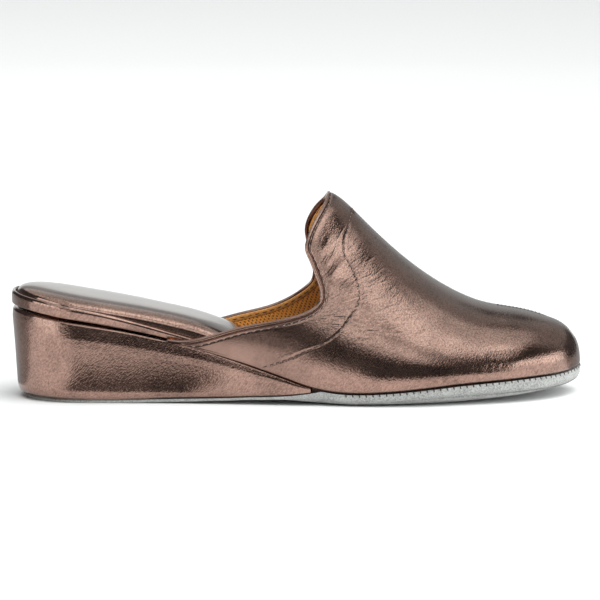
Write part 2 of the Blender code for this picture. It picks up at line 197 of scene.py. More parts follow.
# Behind the first of two stations the wall follows both tables up to its top. Past the second, it runs on
# straight above a share of its height, one for each table
SOFT_ENDS, STRAIGHT_TO, SOFT_TO = (58.0, 76.0), 0.9, 0.97
WEDGE_TAPER_END = 0.15
WALL_BLEND, BLEND_SAMPLES = 0.008, 9

# The upper's rays behind the apex: share of the collar edge that a ray climbs to, its foot's station on the
# feather line and how late it bends back on its way up
REAR = {
    "collar": (0.0, 0.28, 0.46, 0.56, 0.75, 1.0),
    "foot": (192.0, 170.0, 150.0, 131.0, 101.0, WING_TIP),
    "bow": (1.7, 2.2, 1.9, 1.3, 1.0, 1.0),
}
RIDGE_START = 244.0
FRONT_BOW = 2.4

# The rolled edges of the leather and of the lining along the collar: where the roll begins, as a distance in
# from the edge, and how far it bulges out again
LEATHER_EDGE = {
    "collar": (0.0, 0.02, 0.05, 0.88, 0.943, 1.0),
    "inset": (1.3, 1.3, 1.3, 1.3, 0.9, 0.4),
    "bulge": (0.5, 0.9, 1.3, 1.3, 0.9, 0.4),
}
LINING_EDGE = {
    "collar": (0.0, 0.20, 0.36, 0.80, 0.88, 0.943, 1.0),
    "inset": (2.4, 2.4, 1.7, 1.7, 1.4, 0.6, 0.2),
    "bulge": (0.3, 0.3, 0.3, 0.3, 0.3, 0.2, 0.1),
}

# The stitched seam around the throat, from the ridge down to the feather line
SEAM = {
    "station": (
        149.8, 149.4, 148.5, 147.6, 146.3, 145.9, 146.3, 149.0, 151.4, 152.3, 151.6, 149.0, 145.0, 139.9,
        132.7, 127.9, 122.6, 116.7, 109.8,
    ),
    "height": (
        90.0, 80.7, 78.4, 74.7, 71.6, 67.6, 64.1, 59.3, 54.3, 48.9, 43.5, 39.8, 34.7, 29.9, 25.9, 24.0, 21.4,
        19.1, 16.6,
    ),
}

# Relief lines of the collar and the seam: distance from the line, height and width of each soft ridge (or
# trough, where it is negative)
COLLAR_RELIEF = {
    "off": (0.70, 1.80, 3.1),
    "height": (0.16, -0.62, -0.10),
    "width": (0.55, 0.30, 0.45),
}
SEAM_RELIEF = {
    "off": (-0.85, 0.0, 0.85),
    "height": (0.06, -0.26, 0.08),
    "width": (0.50, 0.38, 0.50),
}
SEAM_FADE, COLLAR_FADE = 0.05, 0.9

# How far from its line a relief is worked out: in millimetres, or in widths for a crease
COLLAR_REACH, SEAM_REACH, CREASE_REACH = 18.0, 3.5, 4.5

# The tongue's bulge along the collar, the tuck at the feather line, the wings' lift and the tongue's tip
TONGUE_BULGE, TONGUE_EDGE = (3.4, 0.9, 5.6), (1.3, 2.9)
TONGUE_RISES, TONGUE_SIDE = (46.0, 60.0), (3.0, 13.0)
FEATHER_TUCK, FEATHER_TUCK_REACH, WING_TUCK_REACH, WING_LOW = 0.8, 1.7, 0.5, (70.0, 104.0)
WING_LIFT, WING_TUCK = 0.70, 0.15
APEX_DROP, APEX_REACH, APEX_MIRRORED = 0.8, 1.6, 3

# The stitch line along the collar: share of the collar edge and distance in from it
COLLAR_STITCH = {
    "collar": (0.0, 0.30, 0.50, 0.75, 0.95),
    "off": (1.95, 2.05, 2.8, 3.15, 3.3),
}

# Creases and soft dents: side, three points that a crease passes (station, height), its width and depth
CREASES = (
    (LATERAL, (136.6, 50.6), (141.0, 57.2), (146.6, 63.4), 1.45, 0.19),
    (LATERAL, (137.0, 46.5), (143.5, 53.0), (150.0, 57.5), 3.4, -0.35),
    (LATERAL, (135.6, 58.2), (140.2, 64.1), (143.8, 69.6), 1.10, 0.06),
    (LATERAL, (138.0, 60.0), (141.9, 65.3), (144.8, 69.6), 0.80, 0.06),
    (LATERAL, (134.0, 63.5), (137.8, 68.8), (141.0, 74.0), 1.00, 0.05),
    (LATERAL, (151.5, 57.8), (154.7, 62.2), (158.0, 66.5), 0.77, 0.09),
    (LATERAL, (153.8, 57.5), (157.4, 62.9), (159.9, 66.6), 0.68, 0.09),
    (LATERAL, (146.6, 32.5), (159.0, 32.7), (174.0, 35.5), 1.05, 0.09),
    (LATERAL, (152.0, 31.2), (162.5, 34.7), (171.5, 37.6), 1.00, 0.08),
    (LATERAL, (157.0, 32.2), (166.1, 32.4), (174.0, 32.0), 0.95, 0.08),
    (LATERAL, (150.5, 30.0), (156.0, 29.2), (163.0, 31.0), 0.95, 0.07),
    (LATERAL, (144.0, 35.0), (150.5, 38.6), (158.0, 41.0), 3.6, 0.30),
    (LATERAL, (176.0, 31.0), (179.2, 31.8), (182.5, 33.2), 0.59, 0.08),
    (LATERAL, (213.2, 14.6), (214.0, 17.2), (214.9, 20.4), 0.59, 0.08),
    (LATERAL, (210.2, 14.8), (211.0, 17.6), (212.3, 20.8), 0.59, 0.07),
    (LATERAL, (206.5, 14.2), (207.6, 16.8), (208.6, 19.4), 0.59, 0.05),
    (LATERAL, (207.0, 21.6), (214.0, 21.2), (222.0, 21.4), 2.6, 0.19),
    (LATERAL, (186.0, 30.0), (194.7, 36.4), (200.0, 40.0), 4.5, 0.17),
    (LATERAL, (149.0, 80.5), (147.0, 73.0), (145.9, 66.0), 5.0, 0.45),
    (MEDIAL, (133.5, 50.6), (139.0, 57.0), (145.6, 62.0), 0.94, 0.19),
    (MEDIAL, (134.6, 59.0), (139.6, 64.6), (143.6, 70.0), 0.68, 0.08),
    (MEDIAL, (151.8, 56.4), (155.2, 61.0), (158.4, 65.6), 0.77, 0.12),
    (MEDIAL, (148.0, 31.5), (158.0, 31.0), (170.0, 33.0), 0.77, 0.11),
    (MEDIAL, (153.0, 29.6), (163.0, 32.0), (173.0, 35.0), 0.68, 0.1),
    (MEDIAL, (158.0, 28.4), (167.0, 29.0), (177.0, 30.4), 0.68, 0.08),
    (MEDIAL, (208.0, 15.0), (209.2, 18.0), (210.2, 20.8), 0.59, 0.07),
    (MEDIAL, (188.0, 29.0), (196.0, 34.4), (203.0, 37.0), 4.5, 0.17),
)
CREASE_RIDGE_OFF, CREASE_RIDGE_WIDTH, CREASE_RIDGE_SHARE = 1.8, 1.3, 0.55
CREASE_TAPER = 0.7

# Rows of stitches, and of dark thread pieces between them that paint the shade of the stitch holes: pitch,
# length, width, height, lean and lift off the face
STITCHES = {
    "collar_stitches": (3.4, 1.4, 0.46, 0.45, math.radians(8), 0.10),
    "collar_hole_shade": (3.4, 1.9, 0.46, 0.40, 0.0, 0.06),
    "seam_stitches": (3.0, 0.8, 0.42, 0.40, 0.0, 0.18),
    "seam_hole_shade": (3.0, 2.4, 0.46, 0.42, 0.0, 0.13),
    "toe_stitches": (1.7, 1.0, 0.55, 0.60, 0.0, 0.34),
    "tape_stitches": (3.4, 2.4, 0.55, 0.45, 0.0, 0.0),
    "sole_stitches": (2.95, 1.5, 0.66, 0.40, math.radians(18), 0.0),
}
THREAD_RINGS, THREAD_SIDES = 7, 8
THREAD_TAPER, THREAD_DIP = 0.93, 0.45
STITCH_LOOK = 0.2
SEWN_COLLAR = (0.004, 0.93)
SOLE_STITCH_DROP, SOLE_STITCH_START = 0.45, 146.0
LINING_GAP = 0.05

# The tape inside the collar: distance from the edge and depth under the upper's face, around its section
TAPE = {
    "off": (1.0, 1.05, 1.4, 3.1, 3.5, 3.5),
    "depth": (1.6, 2.1, 2.25, 2.25, 2.1, 1.8),
}
TAPE_END, TAPE_COLUMNS = 0.95, 260
TAPE_SHIFT, TAPE_SHIFT_ENDS = 1.6, (0.20, 0.36)
TAPE_STITCH_OFF, TAPE_STITCH_DEPTH = 2.3, 2.3

# The short seam on top of the toe, just past the ridge on the medial side
TOE_SEAM = {
    "station": (213.0, 220.0, 227.0, 234.0),
    "angle": (85.8, 85.5, 85.5, 85.8),
}

# Shares of the half width, levels and turns at which the lofted pieces have their rings. The sole's lip has
# the lift (in rounds of the edge) and the inset of each ring over its upper edge
SOLE_LIP = ((-0.25, 0.0), (-0.06, 0.08), (0.0, 0.3))
SOLE_TURNS = 9
SOLE_SHARES = (0.30, 0.55, 0.70, 0.76, 0.82, 0.88, 0.93, 0.97)
WEDGE_SHARES = (0.35, 0.70, 0.93)
WALL_LEVELS = 56
PAD_SHARES = (0.35, 0.75, 0.88, 0.96, 1.0)
CROWN_TURNS = (0, 4, 8, 13, 18, 24, 30, 36, 42, 48, 54, 60, 66, 71, 76, 80, 83, 86)

# Mesh density
FRONT_RAYS, REAR_RAYS, UPPER_ROWS, INNER_STEP = 110, 168, 136, 8
LINING_FRONT, LINING_REAR, LINING_ROWS = 50, 110, 36
RIM_ROWS = 8
ROW_CROWDING, CROWDED_RAYS = 0.5, (0.6, 1.0)
RUNGS, WEDGE_RUNGS, PAD_RUNGS = 150, 110, 130
RAND_COLUMNS = 240
END_ZONE = 0.12
LINE_STEP = 0.25
COLLAR_SPOTS, SEAM_SPOTS, TOE_SEAM_SPOTS, STITCH_SPOTS = 620, 560, 90, 400
OUTLINE_RUNGS = 600
GIRTH_STEPS, UNROLLED_SCALE = 25, 0.01

# Camera, as the photograph is taken: from the lateral side, a little above
ELEVATION = math.radians(8.0)
CAMERA_ROLL = math.radians(-0.22)
CAMERA_DISTANCE = 2.4
FRAME_WIDTH = 0.2636
SENSOR = 36.0
TARGET = (0.00155, 0.0, 0.0415)

# Leather: colours are linear red, green and blue, noises have a scale per metre and a detail, and parts are
# weights
FOIL_DARK, FOIL_LIGHT = (0.160, 0.088, 0.067, 1), (0.44, 0.263, 0.207, 1)
FOIL = {"metallic": 1.0, "coat_weight": 0.6, "coat_roughness": 0.18}
GRAINED, SMOOTH = (0.36, (0.12, 0.19)), (0.06, (0.10, 0.15))
FINE, BLOTCH = (3000.0, 2.0), (55.0, 3.0)
GRAIN_TURN, GRAIN_DEPTH = (0.0, math.radians(-50), 0.0), 0.00024
PEBBLE_SIZE, PEBBLE_SOFTNESS = (0.0010, 0.0006, 0.0006), 0.35
WRINKLE_SIZE, WRINKLE_DETAIL = (0.0020, 0.0007, 0.0006), 2.0
GRAIN_PARTS = (-0.5, 0.65, 0.25)
# The foil's colour darkens where the grain is low, a painted shade in its valleys, and varies with blotches
# and fine noise, an uneven tone: weights of grain, blotch and fine noise, and the range
VALLEY_SHADE_AND_TONE_PARTS, VALLEY_SHADE_AND_TONE_RANGE = (0.8, 0.6, 0.1), (0.26, 0.78)
SHINE_PARTS, SHINE_RANGE = (0.6, 0.4), (0.3, 0.7)
SMOOTH_WINGS, FAINT_GRAIN = (-0.030, 0.022), 0.15

# Fine wrinkles on the vamp that fan out from the throat: middle, wrinkles a radian and a metre, width, depth
# against the grain, and where they begin, are full, fade and end by distance and by turn
FAN_MIDDLE = (-0.001, 0.0, 0.037)
FAN_TURNS, FAN_RUNS, FAN_WIDTH, FAN_DEPTH = 7.0, 60.0, 0.085, 0.62
FAN_REACH = (0.008, 0.018, 0.046, 0.070)
FAN_ANGLE = (-0.35, -0.10, 1.05, 1.40)
FAN_DETAIL, NOISE_MIDDLE = 2.0, 0.5

# Mesh of the lining: rows of holes and fuzz a decimetre of the unrolled upper
LINING_DARK, LINING_LIGHT = (0.17, 0.045, 0.006, 1), (0.90, 0.36, 0.06, 1)
LINING_CLOTH = {"roughness": 0.85, "sheen_weight": 0.15}
MESH_HOLES, MESH_TURN, MESH_UNEVEN, FUZZ = 70.0, math.radians(75), 0.12, (260.0, 2.0)
WEB_RANGE, LINING_PARTS, LINING_RANGE, LINING_BUMP = (0.16, 0.36), (0.8, 0.35), (0.1, 1.0), (0.7, 0.0004)

# Materials of noise alone: layers of noise (scale, detail and weight), the range of their sum that runs from
# the first colour to the second, strength and depth of the bump, and the shader's constants
THREAD = {"noise": ((2600.0, 2.0, 1.0),), "range": (0.35, 0.65), "bump": (0.4, 0.0001)}
SPECKLED = {
    "pale_grey_suede": {
        "noise": ((1500.0, 3.0, 0.75), (160.0, 3.0, 0.25)),
        "range": (0.34, 0.62),
        "bump": (0.5, 0.0003),
        "colours": ((0.18, 0.18, 0.172, 1), (0.40, 0.40, 0.385, 1)),
        "constants": {"roughness": 0.95, "sheen_weight": 0.35, "sheen_roughness": 0.5},
    },
    "tan_tape": {
        "noise": ((1400.0, 2.0, 1.0),),
        "range": (0.3, 0.7),
        "bump": (0.5, 0.0002),
        "colours": ((0.50, 0.20, 0.045, 1), (0.85, 0.40, 0.10, 1)),
        "constants": {"roughness": 0.75, "sheen_weight": 0.15},
    },
    # Dark thread of the toe and sole stitches, also used for the painted shade in the stitch holes
    "dark_thread_and_hole_shade": {
        **THREAD,
        "colours": ((0.018, 0.011, 0.009, 1), (0.06, 0.035, 0.028, 1)),
        "constants": {"roughness": 0.5},
    },
    "brown_thread": {
        **THREAD,
        "colours": ((0.06, 0.02, 0.006, 1), (0.16, 0.06, 0.018, 1)),
        "constants": {"roughness": 0.5},
    },
    "bronze_thread": {
        **THREAD,
        "colours": ((0.16, 0.105, 0.085, 1), (0.38, 0.27, 0.22, 1)),
        "constants": {"roughness": 0.5, "metallic": 0.4},
    },
}

# Stage: floor, dark and grey flags on it, soft lights (place, target, size, brightness), room light and a
# broad wash of light that leaves no gloss
FLOOR_SIZE = 8.0
FLOOR_COLOUR, FLOOR_ROUGHNESS = (0.86, 0.86, 0.86), 0.9
FLAGS = {
    # The dark sheet beside the wedge, seen only in reflections, paints the shoe's own shadow on the floor
    # there
    "wedge_shadow_flag": ((-0.112, -0.041), (-0.050, -0.041), (-0.042, -0.070), (-0.055, -0.092), (-0.105, -0.092)),
    "front_flag": (
        (-0.17, -0.26), (-0.10, -0.23), (-0.03, -0.19), (-0.005, -0.12), (0.030, -0.070), (0.125, -0.066),
        (1.90, -2.2), (-0.45, -2.2),
    ),
    "toe_flag": ((0.135, 0.0), (2.0, 0.50), (2.0, 2.2), (0.70, 2.2), (0.11, 0.06)),
    "heel_flag": ((-0.14, -0.005), (-0.12, 0.06), (-0.70, 2.2), (-2.0, 2.2), (-2.0, -0.15)),
}
FLAG_TONES = {"wedge_shadow_flag": 0.06, "front_flag": 0.03, "toe_flag": 0.25, "heel_flag": 0.30}
FLAG_HEIGHT, FLAG_ROUGHNESS = 0.001, 1.0
BACKDROP_COLOUR = (1.0, 1.0, 1.0)
ROOM_LIGHT = 0.08
LIGHTS = (
    ("overhead", (0.0, -0.79, 1.00), (0.0, -0.79, 0.0), (1.56, 2.20), 0.92),
    ("key", (0.30, -0.45, 1.02), (0.30, -0.45, 0.0), (0.84, 0.78), 1.00),
    ("front", (0.08, -1.90, 0.88), (0.0, 0.0, 0.02), (1.30, 0.60), 1.10),
    ("toe_side", (1.07, -0.26, 0.22), (0.0, 0.0, 0.22), (1.20, 0.42), 2.1),
    ("heel_side", (-0.90, -0.63, 0.42), (0.0, 0.0, 0.42), (0.90, 0.82), 1.9),
    ("fill", (0.89, 0.70, 0.95), (0.0, 0.0, 0.05), (1.20, 1.00), 0.30),
    ("ceiling", (-0.30, 0.98, 1.00), (-0.30, 0.98, 0.0), (1.20, 1.60), 0.65),
    ("back", (0.0, 1.50, 0.43), (0.0, 0.0, 0.43), (1.50, 0.84), 0.30),
    ("back_low", (-0.32, 1.48, 0.22), (-0.32, 0.0, 0.22), (0.86, 0.42), 0.48),
)
GLOSS_ONLY = ("heel_side", "back", "back_low")
LIGHT_TINT = (0.96, 1.03, 1.03)
WASH, WASH_FROM, WASH_SPREAD = 3.4, (0.75, -0.35, 1.0), math.radians(100)


def spline(table, column, along="station"):
    """A natural cubic curve through a table's column, as a function of the column that it runs along."""
    x = np.asarray(table[along], float)
    y = np.asarray(table[column], float)
    step = np.diff(x)
    count = len(x)
    matrix = np.eye(count)
    right = np.zeros(count)
    for k in range(1, count - 1):
        matrix[k, k - 1 : k + 2] = step[k - 1], 2 * (step[k - 1] + step[k]), step[k]
        right[k] = 6 * ((y[k + 1] - y[k]) / step[k] - (y[k] - y[k - 1]) / step[k - 1])
    bend = np.linalg.solve(matrix, right)

    def value(at):
        at = np.clip(np.asarray(at, float), x[0], x[-1])
        k = np.clip(np.searchsorted(x, at) - 1, 0, count - 2)
        before, after, span = at - x[k], x[k + 1] - at, step[k]
        cubic = (bend[k] * after**3 + bend[k + 1] * before**3) / (6 * span)
        line = (y[k] / span - bend[k] * span / 6) * after
        return cubic + line + (y[k + 1] / span - bend[k + 1] * span / 6) * before

    return value


def smoothstep(low, high, at):
    share = np.clip((np.asarray(at, float) - low) / (high - low), 0, 1)
    return share * share * (3 - 2 * share)


def end_round(distance, reach, power):
    """Share of the full width at a distance in from a rounded end."""
    inside = 1 - np.clip(np.asarray(distance, float) / reach, 0, 1)
    return (1 - inside**power) ** (1 / power)


def end_spread(count):
    """Shares from 0 to 1 that crowd together at both ends, where an outline turns."""
    k = np.arange(count + 1) / count
    curve = 1 / (2 * END_ZONE * (1 - END_ZONE))
    slope = 2 * curve * END_ZONE
    middle = curve * END_ZONE**2 + slope * (k - END_ZONE)
    shares = np.where(k < END_ZONE, curve * k**2, middle)
    return np.where(k > 1 - END_ZONE, 1 - curve * (1 - k) ** 2, shares)


def run_along(points):
    """Length along a line of points, from its start to each of them."""
    return np.concatenate([[0], np.cumsum(np.linalg.norm(np.diff(points, axis=0), axis=1))])


def along_line(at, run, rows):
    """Rows of three values at places along a line, between those at its points."""
    return np.column_stack([np.interp(at, run, rows[:, axis]) for axis in range(3)])


axis_of = spline(PLAN, "axis")
full_width = {LATERAL: spline(PLAN, "lateral"), MEDIAL: spline(PLAN, "medial")}
feather = spline(FEATHER, "height")
sole_thickness = spline(SOLE, "thickness")
sole_edge_line = spline(SOLE_EDGE, "height")
ridge_rise = spline(SECTIONS, "ridge")
ridge_shift = spline(SECTIONS, "shift")
fullness = spline(SECTIONS, "fullness")
swell = spline(SECTIONS, "swell")
pad_thickness = spline(PAD, "thickness")
pad_side = spline(PAD, "side")
rand_height = spline(RAND, "height")


def pad_inset(station):
    return np.interp(station, PAD["station"], PAD["inset"])


def dish(share):
    return np.interp(share, DISH["share"], DISH["rise"])


def sole_base(station):
    """Height of the sole's bottom along its middle: two flat spots, the arch and the toe spring."""
    arch = np.clip((station - HEEL_FLAT_END) / (FORE_FLAT[0] - HEEL_FLAT_END), 0, 1)
    spring = np.clip((station - FORE_FLAT[1]) / (LENGTH - FORE_FLAT[1]), 0, 1)
    return ARCH_RISE * np.sin(math.pi * arch**ARCH_LEAN) ** 2 + TOE_SPRING * spring**SPRING_POWER


def sole_edge(station):
    """Height of the top of the sole's edge: under the wedge, then under the upper."""
    beside_wedge = np.where(station < SOLE_EDGE["station"][-1], sole_edge_line(station), np.inf)
    return np.minimum(beside_wedge, feather(station) - GAP)


def sole_bottom(station, share):
    curl = np.maximum(sole_edge(station) - sole_thickness(station) - sole_base(station), 0)
    return sole_base(station) + curl * dish(share)


def sole_top(station, share):
    return sole_bottom(station, share) + sole_thickness(station)


def seat(station, share):
    """The surface that the foot's pieces stand on: flat over the wedge, dished in the fore part."""
    fore = np.maximum(station, DISH_GROWS[1])
    dip = feather(fore) - GAP - sole_thickness(fore) - sole_base(fore)
    return feather(station) - dip * smoothstep(*DISH_GROWS, station) * (1 - dish(share))


def half_width(station, side, start=0.0, end=LENGTH, inset=0.0, share=1.0):
    """Half width of the plan outline, inset at its sides and rounded at its two ends."""
    heel = end_round(station - start, HEEL_REACH * share, HEEL_POWER)
    toe = end_round(end - station, TOE_REACH * share, TOE_POWER)
    return share * (full_width[side](station) - inset) * heel * toe


def ring_sides(stations, height, start, end, inset, share):
    """Points along the lateral and the medial side of a plan outline."""
    sides = []
    for side in SIDES:
        out = half_width(stations, side, start, end, inset, share)
        sides.append(np.column_stack([stations, axis_of(stations) + side * out, height(stations)]))
    return sides


def plan_ring(height, rungs, share=1.0, start=0.0, end=LENGTH, inset=None):
    """A closed ring of points around the plan outline: heel, lateral side, toe and medial side.

    A share below 1 shrinks the ring towards the shoe's middle, for the faces inside an outline.
    """
    first = start + (1 - share) * HEEL_REACH * RING_PULL
    last = end - (1 - share) * TOE_REACH * RING_PULL
    stations = first + (last - first) * end_spread(rungs)
    inset = np.zeros_like(stations) if inset is None else inset(stations)
    lateral, medial = ring_sides(stations, height, first, last, inset, share)
    return np.vstack([lateral, medial[-2:0:-1]])


def wall_inset(table, column, wall):
    """The wedge wall's inset at a share of its height, with the table's corners blended."""
    blend = wall + WALL_BLEND * np.linspace(-1, 1, BLEND_SAMPLES)
    return np.interp(blend, table["share"], table[column]).mean()


def wedge_ring(height, wall, share=1.0):
    """As plan_ring, but cut straight across at the wedge's tip."""
    first = wall_inset(WEDGE_WALL, "heel", wall) + wall_inset(WEDGE_SOFT, "heel", wall)
    first += (1 - share) * HEEL_REACH * RING_PULL
    stations = first + (WEDGE_TIP - first) * end_spread(WEDGE_RUNGS)
    taper = 1 + (WEDGE_TAPER_END - 1) * stations / WEDGE_TIP
    behind = 1 - smoothstep(*SOFT_ENDS, stations)
    straight = wall_inset(WEDGE_WALL, "side", min(wall, STRAIGHT_TO))
    straight += wall_inset(WEDGE_SOFT, "side", min(wall, SOFT_TO))
    rounded = wall_inset(WEDGE_WALL, "side", wall) + wall_inset(WEDGE_SOFT, "side", wall)
    inset = (straight + (rounded - straight) * behind) * taper
    lateral, medial = ring_sides(stations, height, first, LENGTH, inset, share)
    return np.vstack([lateral, medial[:0:-1]])


def upper_point(station, angle, side):
    """The upper's outer face. The angle runs from 0 at the feather line to a right angle at the ridge."""
    nose = end_round(LENGTH - station, NOSE_REACH, NOSE_POWER)
    rise, out = np.sin(angle), np.cos(angle)
    full = fullness(station)
    z = feather(station) + ridge_rise(station) * nose * np.maximum(rise, 0) ** full
    share = np.clip(angle / SWELL_ANGLE, 0, 1)
    bulge = swell(station) * SWELL_PEAK * share * (1 - share) ** 2 * nose
    width = half_width(station, side) * np.maximum(out, 0) ** full + bulge
    y = axis_of(station) + ridge_shift(station) * rise**2 + side * width
    return np.stack(np.broadcast_arrays(station, y, z), axis=-1)


def unit(vectors):
    return vectors / np.maximum(np.linalg.norm(vectors, axis=-1, keepdims=True), 1e-12)


def surface_frame(station, angle, side):
    """The upper's slopes along its station and its angle, and its outward normal."""
    small = 1e-3
    ahead = upper_point(station + small, angle, side) - upper_point(station - small, angle, side)
    inner = np.minimum(angle + small, math.pi / 2)
    outer = inner - 2 * small
    climb = upper_point(station, inner, side) - upper_point(station, outer, side)
    normal = unit(np.cross(ahead, climb)) * -side
    return ahead / (2 * small), climb / (2 * small), normal


def angle_at(station, height):
    """Section angle at which the upper has a height, at each station."""
    share = (np.asarray(height, float) - feather(station)) / ridge_rise(station)
    return np.arcsin(np.clip(share, 0, 1) ** (1 / fullness(station)))


def line_on_upper(stations, angles, side, count):
    """A smooth line on the upper through landmarks, evenly spaced: its stations and section angles."""
    points = upper_point(stations, angles, side)
    run = run_along(points)
    table = {"run": run, "station": stations, "angle": angles}
    at = np.linspace(0, run[-1], count)
    return spline(table, "station", "run")(at), spline(table, "angle", "run")(at)


def collar_curve(side, shares):
    """Stations and section angles along the collar edge, spaced evenly by length on the upper."""
    name = "lateral" if side == LATERAL else "medial"
    stations = np.array([*COLLAR[f"{name}_station"], WING_TIP])
    heights = np.array([*COLLAR[f"{name}_height"], float(feather(WING_TIP)) + WING_TIP_HEIGHT])
    angles = np.array([math.pi / 2, *angle_at(stations, heights)])
    stations = np.array([APEX, *stations])
    points = upper_point(stations, angles, side)
    run = run_along(points)
    # The edge runs on over the ridge as its mirror image, so that it crosses the ridge without a corner
    over = slice(APEX_MIRRORED, 0, -1)
    table = {
        "run": np.concatenate([-run[over], run]),
        "station": np.concatenate([stations[over], stations]),
        "angle": np.concatenate([math.pi - angles[over], angles]),
    }
    at = np.asarray(shares) * run[-1]
    return spline(table, "station", "run")(at), spline(table, "angle", "run")(at)


def collar_inset(side, shares, inset):
    """A line at a distance in from the collar edge: stations, section angles and the way out to the edge."""
    station, angle = collar_curve(side, shares)
    step = 1e-4
    after = upper_point(*collar_curve(side, np.clip(shares + step, 0, 1)), side)
    before = upper_point(*collar_curve(side, np.clip(shares - step, 0, 1)), side)
    along = unit(after - before)
    ahead, climb, normal = surface_frame(station, angle, side)
    inward = unit(np.cross(along, normal)) * side
    # Solves for the step in station and angle that moves a point inwards on the surface
    aa, cc, ac = (ahead**2).sum(-1), (climb**2).sum(-1), (ahead * climb).sum(-1)
    ia, ic = (inward * ahead).sum(-1) * inset, (inward * climb).sum(-1) * inset
    area = aa * cc - ac**2
    d_station = (ia * cc - ic * ac) / area
    d_angle = (ic * aa - ia * ac) / area
    return station + d_station, np.clip(angle + d_angle, 0, math.pi / 2), -inward


def upper_grid(side, front_rays, rear_rays, rows, edge):
    """Stations and angles of the upper's rays, and the way out to the collar edge at their ends.

    A ray climbs from the feather line to the ridge or, behind the apex, to a line inset from the collar edge.
    """
    front = np.arange(front_rays + 1) / front_rays
    rear = np.arange(1, rear_rays + 1) / rear_rays
    inset = np.interp(rear, edge["collar"], edge["inset"])
    bulge = np.interp(rear, edge["collar"], edge["bulge"])
    top_rear, angle_rear, out_rear = collar_inset(side, rear, inset)
    ahead, _, _ = surface_frame(np.array([APEX]), math.pi / 2, side)
    top_apex = APEX + edge["inset"][0] / np.linalg.norm(ahead)
    out_apex = -unit(ahead) * edge["bulge"][0]
    foot_front = LENGTH - (LENGTH - REAR["foot"][0]) * (1 - np.cos(front * math.pi / 2))
    foot_rear = spline(REAR, "foot", "collar")(rear)
    top_front = RIDGE_START + (top_apex - RIDGE_START) * front
    foot = np.concatenate([foot_front, foot_rear])
    top = np.concatenate([top_front, top_rear])
    top_angle = np.concatenate([np.full(front_rays + 1, math.pi / 2), angle_rear])
    bow_front = FRONT_BOW + (REAR["bow"][0] - FRONT_BOW) * front
    bow = np.concatenate([bow_front, np.interp(rear, REAR["collar"], REAR["bow"])])
    crowd = 1 + ROW_CROWDING * np.concatenate([smoothstep(*CROWDED_RAYS, front), np.ones(rear_rays)])
    even = np.arange(rows + 1) / rows
    climb = 1 - (1 - even[None, :]) ** crowd[:, None]
    stations = foot[:, None] + (top - foot)[:, None] * climb ** bow[:, None]
    angles = top_angle[:, None] * climb
    angles[0, :] = math.pi / 2
    out = np.concatenate([out_apex, out_rear * bulge[:, None]])
    return stations, angles, out


def place(points):
    """Points of the last, in millimetres, as points of the part's frame, in metres."""
    return (np.asarray(points) - np.array([LENGTH / 2, MIDDLE, 0.0])) * MM


def middle_across():
    """Side shift of the middle of the upper's box, between its widest points."""
    stations, angles = np.meshgrid(np.arange(WING_TIP, LENGTH), np.linspace(0, SWELL_ANGLE))
    reach = {side: (upper_point(stations, angles, side)[..., 1] * side).max() for side in SIDES}
    return (reach[MEDIAL] - reach[LATERAL]) / 2


MIDDLE = middle_across()


def add_object(name, data):
    made = bpy.data.objects.new(name, data)
    bpy.context.scene.collection.objects.link(made)
    return made


def bend_tip(points):
    """The tongue's tip bends down a little, with all that is sewn to it."""
    tip = upper_point(APEX, math.pi / 2, LATERAL)
    drop = APEX_DROP * bell(np.linalg.norm(points - tip, axis=1), APEX_REACH)
    return points - drop[:, None] * UP


def add_piece(name, points, faces, material, node=None, slot=None, unrolled=None):
    """Makes a smooth piece that rides on the part, and hides the node that it stands for."""
    mesh = bpy.data.meshes.new(name)
    mesh.from_pydata(place(bend_tip(points)).tolist(), [], faces)
    builder = bmesh.new()
    builder.from_mesh(mesh)
    bmesh.ops.recalc_face_normals(builder, faces=builder.faces)
    builder.to_mesh(mesh)
    builder.free()
    mesh.materials.append(material)
    mesh.shade_smooth()
    if unrolled is not None:
        corners = np.empty(len(mesh.loops), np.int32)
        mesh.loops.foreach_get("vertex_index", corners)
        layer = mesh.uv_layers.new(name="unrolled")
        layer.uv.foreach_set("vector", unrolled[corners].astype(np.float32).ravel())
    piece = add_object(name, mesh)
    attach(piece, "root")
    if node:
        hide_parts(node)
    return piece


def loft_walls(loops):
    """Numbers of the points of closed loops, and the faces between each loop and the next."""
    count = len(loops[0])
    number = np.arange(len(loops) * count).reshape(len(loops), count)
    after = np.roll(number, -1, axis=1)
    faces = np.stack([number[:-1], after[:-1], after[1:], number[1:]], axis=-1)
    return number, faces.reshape(-1, 4).tolist()


def loft_rings(rings, pointed_front):
    """Points and faces of a closed solid through plan rings, from its lower middle to its upper middle.

    Each cap is a ladder of faces between the two sides of its ring.
    """
    number, faces = loft_walls(rings)
    rungs = len(rings[0]) // 2
    for loop in (number[0].tolist(), number[-1].tolist()):
        faces.append([loop[0], loop[1], loop[-1]])
        faces.extend([loop[k], loop[k + 1], loop[-k - 1], loop[-k]] for k in range(1, rungs - 1))
        last = rungs - 1
        faces.append(
            [loop[last], loop[last + 1], loop[-last]]
            if pointed_front
            else [loop[last], loop[last + 1], loop[-last - 1], loop[-last]]
        )
    return np.vstack(rings), faces


def loft_sections(sections):
    """Points and faces of a closed solid through loops of points, with a flat cap at each end."""
    number, faces = loft_walls(sections)
    faces.extend([number[0].tolist(), number[-1].tolist()])
    return np.vstack(sections), faces


def sheet_normals(points, quads):
    """Vertex normals of an open sheet of four-cornered faces."""
    corners = points[quads]
    across = np.cross(corners[:, 2] - corners[:, 0], corners[:, 3] - corners[:, 1])
    normals = np.zeros_like(points)
    for corner in range(4):
        np.add.at(normals, quads[:, corner], across)
    return unit(normals)


